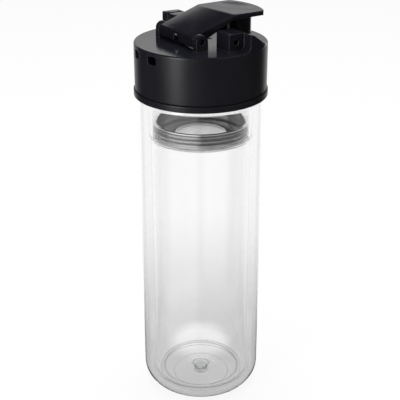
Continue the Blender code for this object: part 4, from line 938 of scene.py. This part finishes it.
profile = [(CAP_R - CAP_WALL, cap_low), (CAP_R, cap_low), (CAP_R, pad_low), (CAP_R - CAP_WALL, pad_low)]
combine(lever, "UNION", turned("cap", profile, (cap_x, 0, 0), 96))
tongue_x = TONGUE_X - HINGE.x
tongue_top = REAR_Z + (tongue_x - REAR_X) * LEVER_SLOPE - THICKNESS / 2
plan = oblong(tongue_x, tongue_x + TONGUE_THICKNESS, TONGUE_Y, TONGUE_Y + TONGUE_WIDTH)
combine(lever, "UNION", extruded("tongue", plan, TONGUE_CLEARANCE - HINGE_HEIGHT, tongue_top))
coil_r = SPRING_R + SPRING_WIRE_R + GAP
coil_end = SPRING_MIDDLE + SPRING_PITCH * (SPRING_CURLS + 1) + SPRING_WIRE_R + GAP
plan = oblong(0, SPRING_LEG + 2 * GAP, -coil_end, coil_end)
leg_room = extruded("leg_room", plan, -coil_r, coil_r)
leg_room.data.transform(Matrix.Rotation(-lean, 4, "Y"))
loop_half = SPRING_MIDDLE + SPRING_WIRE_R + 2 * GAP
plan = oblong(lip_x - OVERRUN, OVERRUN, -loop_half, loop_half)
combine(lever, "DIFFERENCE",
        rod("pin_bore", PIN_HOLE_R, -across, across),
        rod("coil_room", coil_r, (0, -coil_end, 0), (0, coil_end, 0)), leg_room,
        extruded("loop_room", plan, -LIP_R - OVERRUN, 2 * GAP))
chord = DISH_WIDTH / 2
ball_r = (chord ** 2 + DISH_DEPTH ** 2) / (2 * DISH_DEPTH)
bowl_angles = [math.asin(chord / ball_r) * i / 16 for i in range(17)]
profile = [(ball_r * math.sin(a), ball_r * (1 - math.cos(a))) for a in bowl_angles]
profile += [(chord, DISH_DEPTH + OVERRUN), (0, DISH_DEPTH + OVERRUN)]
bowl = turned("dish", profile, steps=96)
bowl.data.transform(Matrix.Diagonal((DISH_LENGTH / DISH_WIDTH, 1, 1, 1)))
bowl.data.transform(Matrix.Translation((cap_x, 0, PAD_Z - DISH_DEPTH)))
combine(lever, "DIFFERENCE", bowl)
lever.data.transform(Matrix.Translation(HINGE))
lever_paint = satin_black("lever_black", 0.16, 0.0062)
fit(lever, "lever", lever_paint, "black_plastic", "flip_lever", sharp=28)


# Stopper: a soft clear silicone disc in the lever's cap.
# Its boss dips in the spout, and its flat face seals on the spout's lip.
STOPPER_R = 8.1 * MM
STOPPER_BOSS_R = 4.7 * MM
STOPPER_BOSS_HEIGHT = 1.9 * MM
STOPPER_TAPER = 0.3 * MM
STOPPER_EDGE = 0.2 * MM

seat = DECK_Z + SPOUT_HEIGHT + GAP
top = HINGE.z + PAD_Z - THICKNESS - GAP
low = seat - STOPPER_BOSS_HEIGHT
tip_r = STOPPER_BOSS_R - STOPPER_TAPER
profile = [(0, low), (tip_r - STOPPER_EDGE, low), (tip_r, low + STOPPER_EDGE)]
profile += [(STOPPER_BOSS_R, seat), (STOPPER_R, seat), (STOPPER_R, top), (0, top)]
stopper = turned("soft_stopper", profile, (SPOUT_X, 0, 0), 96)
fit(stopper, "lever", gasket_paint, "clear_silicone", "lever_stopper")


# Latch button: a black push button, moulded with a socket, that fills the far tower's cut-out.
# It slides inwards together with the bolt that is pressed in its socket.
BUTTON_TRAVEL = 1.5 * MM
BUTTON_SOCKET = 1.7 * MM
BUTTON_EDGE = 0.3 * MM
BUTTON_EDGE_Z = DECK_Z + 1.0 * MM

inner = NOTCH_IN + BUTTON_TRAVEL + GAP
front = NOTCH_FRONT_X - GAP
view = [(TOWER_REAR_X, DECK_Z + GAP)]
view += arc((front - NOTCH_ROUND, DECK_Z + GAP + NOTCH_ROUND), NOTCH_ROUND, -1, 0, 10)
view += [(front, DECK_Z + TOWER_HEIGHT), (TOWER_REAR_X, DECK_Z + TOWER_HEIGHT)]
button = extruded("push_button", view, inner, LID_R + OVERRUN, side=True, edge=BUTTON_EDGE,
                  above=BUTTON_EDGE_Z)
combine(button, "INTERSECT", lid_round())
combine(button, "DIFFERENCE", rod("socket", BOLT_HOLE_R, BOLT + Vector((0, inner - OVERRUN, 0)),
                                  BOLT + Vector((0, inner + BUTTON_SOCKET, 0))))
fit(button, "latch", black_paint, "black_plastic", "latch_button")


# Latch bolt: a bright steel bar with chamfered ends, pressed in the button.
# It runs in through the far tower to the lever's tongue. The near tower's hole is blind.
BOLT_R = 1.3 * MM
BOLT_END_Y = 3.0 * MM

far = NOTCH_IN + BUTTON_TRAVEL + BUTTON_SOCKET
laid = Matrix.Translation(BOLT) @ Matrix.Rotation(-TURN / 4, 4, "X")
bolt = round_bar("cross_bolt", BOLT_R, BOLT_END_Y, far, laid)
fit(bolt, "latch", screw_paint, "spring_steel", "latch_bolt")


# Return spring: fine steel wire wound round the bolt.
# It sits in the pocket of the far tower and pushes the button out.
LATCH_SPRING_R = 1.9 * MM
LATCH_WIRE_R = 0.3 * MM
LATCH_PITCH = 1.15 * MM

far = NOTCH_IN + BUTTON_TRAVEL - LATCH_WIRE_R
near = NOTCH_IN - POCKET_DEPTH + BUTTON_TRAVEL + 2 * GAP + LATCH_WIRE_R
curls = coil(LATCH_SPRING_R, 0, TURN * (far - near) / LATCH_PITCH, near, far)
return_spring = wire("return_spring", [BOLT + point for point in curls], LATCH_WIRE_R)
fit(return_spring, "latch", screw_paint, "spring_steel", "latch_spring")


# The studio: a plain white floor and white surroundings, one tall soft light at the left front and a
# wide one overhead. Its sides and front are darker, which only the reflections and the glass show.
# Seen through the glass, the floor also has a painted shadow near the bottle, a painted pool of light
# behind its foot and a painted bright patch towards the left light, and glows a little brighter than white.
FLOOR_HALF = 4.0
FLOOR_DROP = 0.05 * MM
UNDER_SPAN = (0.05, 0.09)
PAINTED_POOL_AWAY = 0.037
PAINTED_POOL_SPAN = (0.014, 0.03)
PAINTED_SHADOW_SPAN = (-0.06, 0.27)
PAINTED_SHADOW_TONE = 0.44
PAINTED_POOL_TONE = 0.36
SIDE_TONE = 0.25
GLASS_GAIN = 0.06
LIT_GREY = (0.86, 0.86, 0.86, 1)
LIGHT_SIDE = -AWAY * math.cos(math.radians(41)) - ASIDE * math.sin(math.radians(41))
LIGHT_RIGHT = -AWAY * math.cos(math.radians(58)) + ASIDE * math.sin(math.radians(58))
OPEN_SIDE = (AWAY, 0.15, 0.6)
BEHIND = (AWAY, 0.66, 0.88)
LEFT = (LIGHT_SIDE, 0.7, 0.92)
RIGHT = (LIGHT_RIGHT, 0.8, 0.97)
BLACK = (0, 0, 0, 1)


def side_share(start, where, direction, low, high):
    """How far a place lies towards a side on the level, from 0 to 1 as the cosine goes from low to high."""
    flat = start.node("VectorMath", {"operation": "MULTIPLY"}, {0: where, 1: (1, 1, 0)})
    level = start.node("VectorMath", {"operation": "NORMALIZE"}, {0: flat})
    dot = start.node("VectorMath", {"operation": "DOT_PRODUCT"}, {0: level, 1: tuple(direction)}, 1)
    return dot.between(low, high)


def seen_as(start):
    """Which rays look: the camera's, those from a gloss, and those that came through glass."""
    camera_ray = start.node("LightPath", output=0)
    through = start.node("LightPath", output=6)
    return camera_ray, start.node("LightPath", output=3) * (1 - through), through


floor_paint, floor_shader, start = new_finish("pale_floor")
where = start.place()
camera_ray, glossy, through = seen_as(start)
away_r = start.radius()
under = 1 - away_r.between(*UNDER_SPAN)
# Painted pool of light: a bright spot just behind the foot, where the glass would gather light.
pool = start.node("VectorMath", {"operation": "DISTANCE"}, {0: where, 1: tuple(AWAY * PAINTED_POOL_AWAY)}, 1)
painted_pool = 1 - pool.between(*PAINTED_POOL_SPAN)
# Painted shadow: seen through the glass, the floor darkens near the bottle; the painted pool is added on
# top.
painted_floor_light = PAINTED_SHADOW_TONE + away_r.between(*PAINTED_SHADOW_SPAN) * (1 - PAINTED_SHADOW_TONE) + painted_pool * PAINTED_POOL_TONE
sides = SIDE_TONE + side_share(start, where, *OPEN_SIDE) * (1 - SIDE_TONE)
# Painted light: seen through the glass, the floor's sides are brighter towards the left light.
sides = sides + side_share(start, where, *LEFT) * 0.8
painted_floor_light = painted_floor_light * (under + (1 - under) * sides)
behind = side_share(start, where, *BEHIND)
tone = camera_ray + through * painted_floor_light + glossy * (0.02 + behind)
# Seen through the glass, the floor glows a little brighter than white.
strength = 1 + through * GLASS_GAIN
glow = start.node("Emission", None, {"Color": tone.tint(BLACK, WHITE), "Strength": strength})
feed(floor_shader, {"Base Color": LIT_GREY, "Roughness": 0.8})
plain = Finish(start.tree, floor_shader.outputs[0])
shares = camera_ray * 0.9 + through * 0.85 + glossy
mixed = start.node("MixShader", None, {0: shares, 1: plain, 2: glow})
feed(start.tree.nodes["Material Output"], {"Surface": mixed})
bm = bmesh.new()
bmesh.ops.create_grid(bm, x_segments=2, y_segments=2, size=FLOOR_HALF)
bmesh.ops.translate(bm, vec=(0, 0, -FLOOR_DROP), verts=bm.verts)
floor = new_piece("floor", bm)
floor.data.materials.append(floor_paint)

world = bpy.data.worlds.new("studio")
bpy.context.scene.world = world
world.use_nodes = True
start = Finish(world.node_tree)
where = start.node("TexCoord")
camera_ray, glossy, through = seen_as(start)
rise = start.node("SeparateXYZ", None, {0: where}, 2)
band = (0.45 + rise.between(0.2, 0.3) * 0.55) * (1 - rise.between(0.34, 0.41))
behind = side_share(start, where, *BEHIND) * band
open_side = side_share(start, where, *OPEN_SIDE)
left = side_share(start, where, *LEFT)
right = side_share(start, where, *RIGHT)
seen_tone = camera_ray + through * (0.42 + open_side * 0.61 + left * 0.9)
gloss_tone = glossy * (0.02 + behind + right * 0.22)
tone = seen_tone + gloss_tone + (1 - camera_ray) * (1 - through) * (1 - glossy) * 0.5
feed(world.node_tree.nodes["Background"], {"Color": tone.tint(BLACK, WHITE), "Strength": 1.0})


def soft_light(name, where, target, wide, high, power):
    """A large even light box that faces a point."""
    light = bpy.data.lights.new(name, "AREA")
    light.shape = "RECTANGLE"
    light.size = wide
    light.size_y = high
    light.energy = power
    lamp = bpy.data.objects.new(name, light)
    lamp.location = where
    lamp.rotation_euler = (Vector(target) - Vector(where)).to_track_quat("-Z", "Y").to_euler()
    lamp.visible_camera = False
    lamp.visible_transmission = False
    bpy.context.scene.collection.objects.link(lamp)
    return lamp


side_place = LIGHT_SIDE * 0.9 + Vector((0, 0, 0.32))
soft_light("side_light", side_place, (0, 0, 0.2), wide=0.32, high=0.7, power=4.6)
top_place = AWAY * 0.25 + Vector((0, 0, 1.3))
top_light = soft_light("top_light", top_place, (0, 0, 0.1), wide=0.9, high=0.9, power=14.0)
top_light.visible_glossy = False
BOUNCES = 24
bpy.context.scene.cycles.max_bounces = BOUNCES
bpy.context.scene.cycles.glossy_bounces = BOUNCES
bpy.context.scene.cycles.transmission_bounces = BOUNCES
bpy.context.scene.view_settings.view_transform = "Standard"
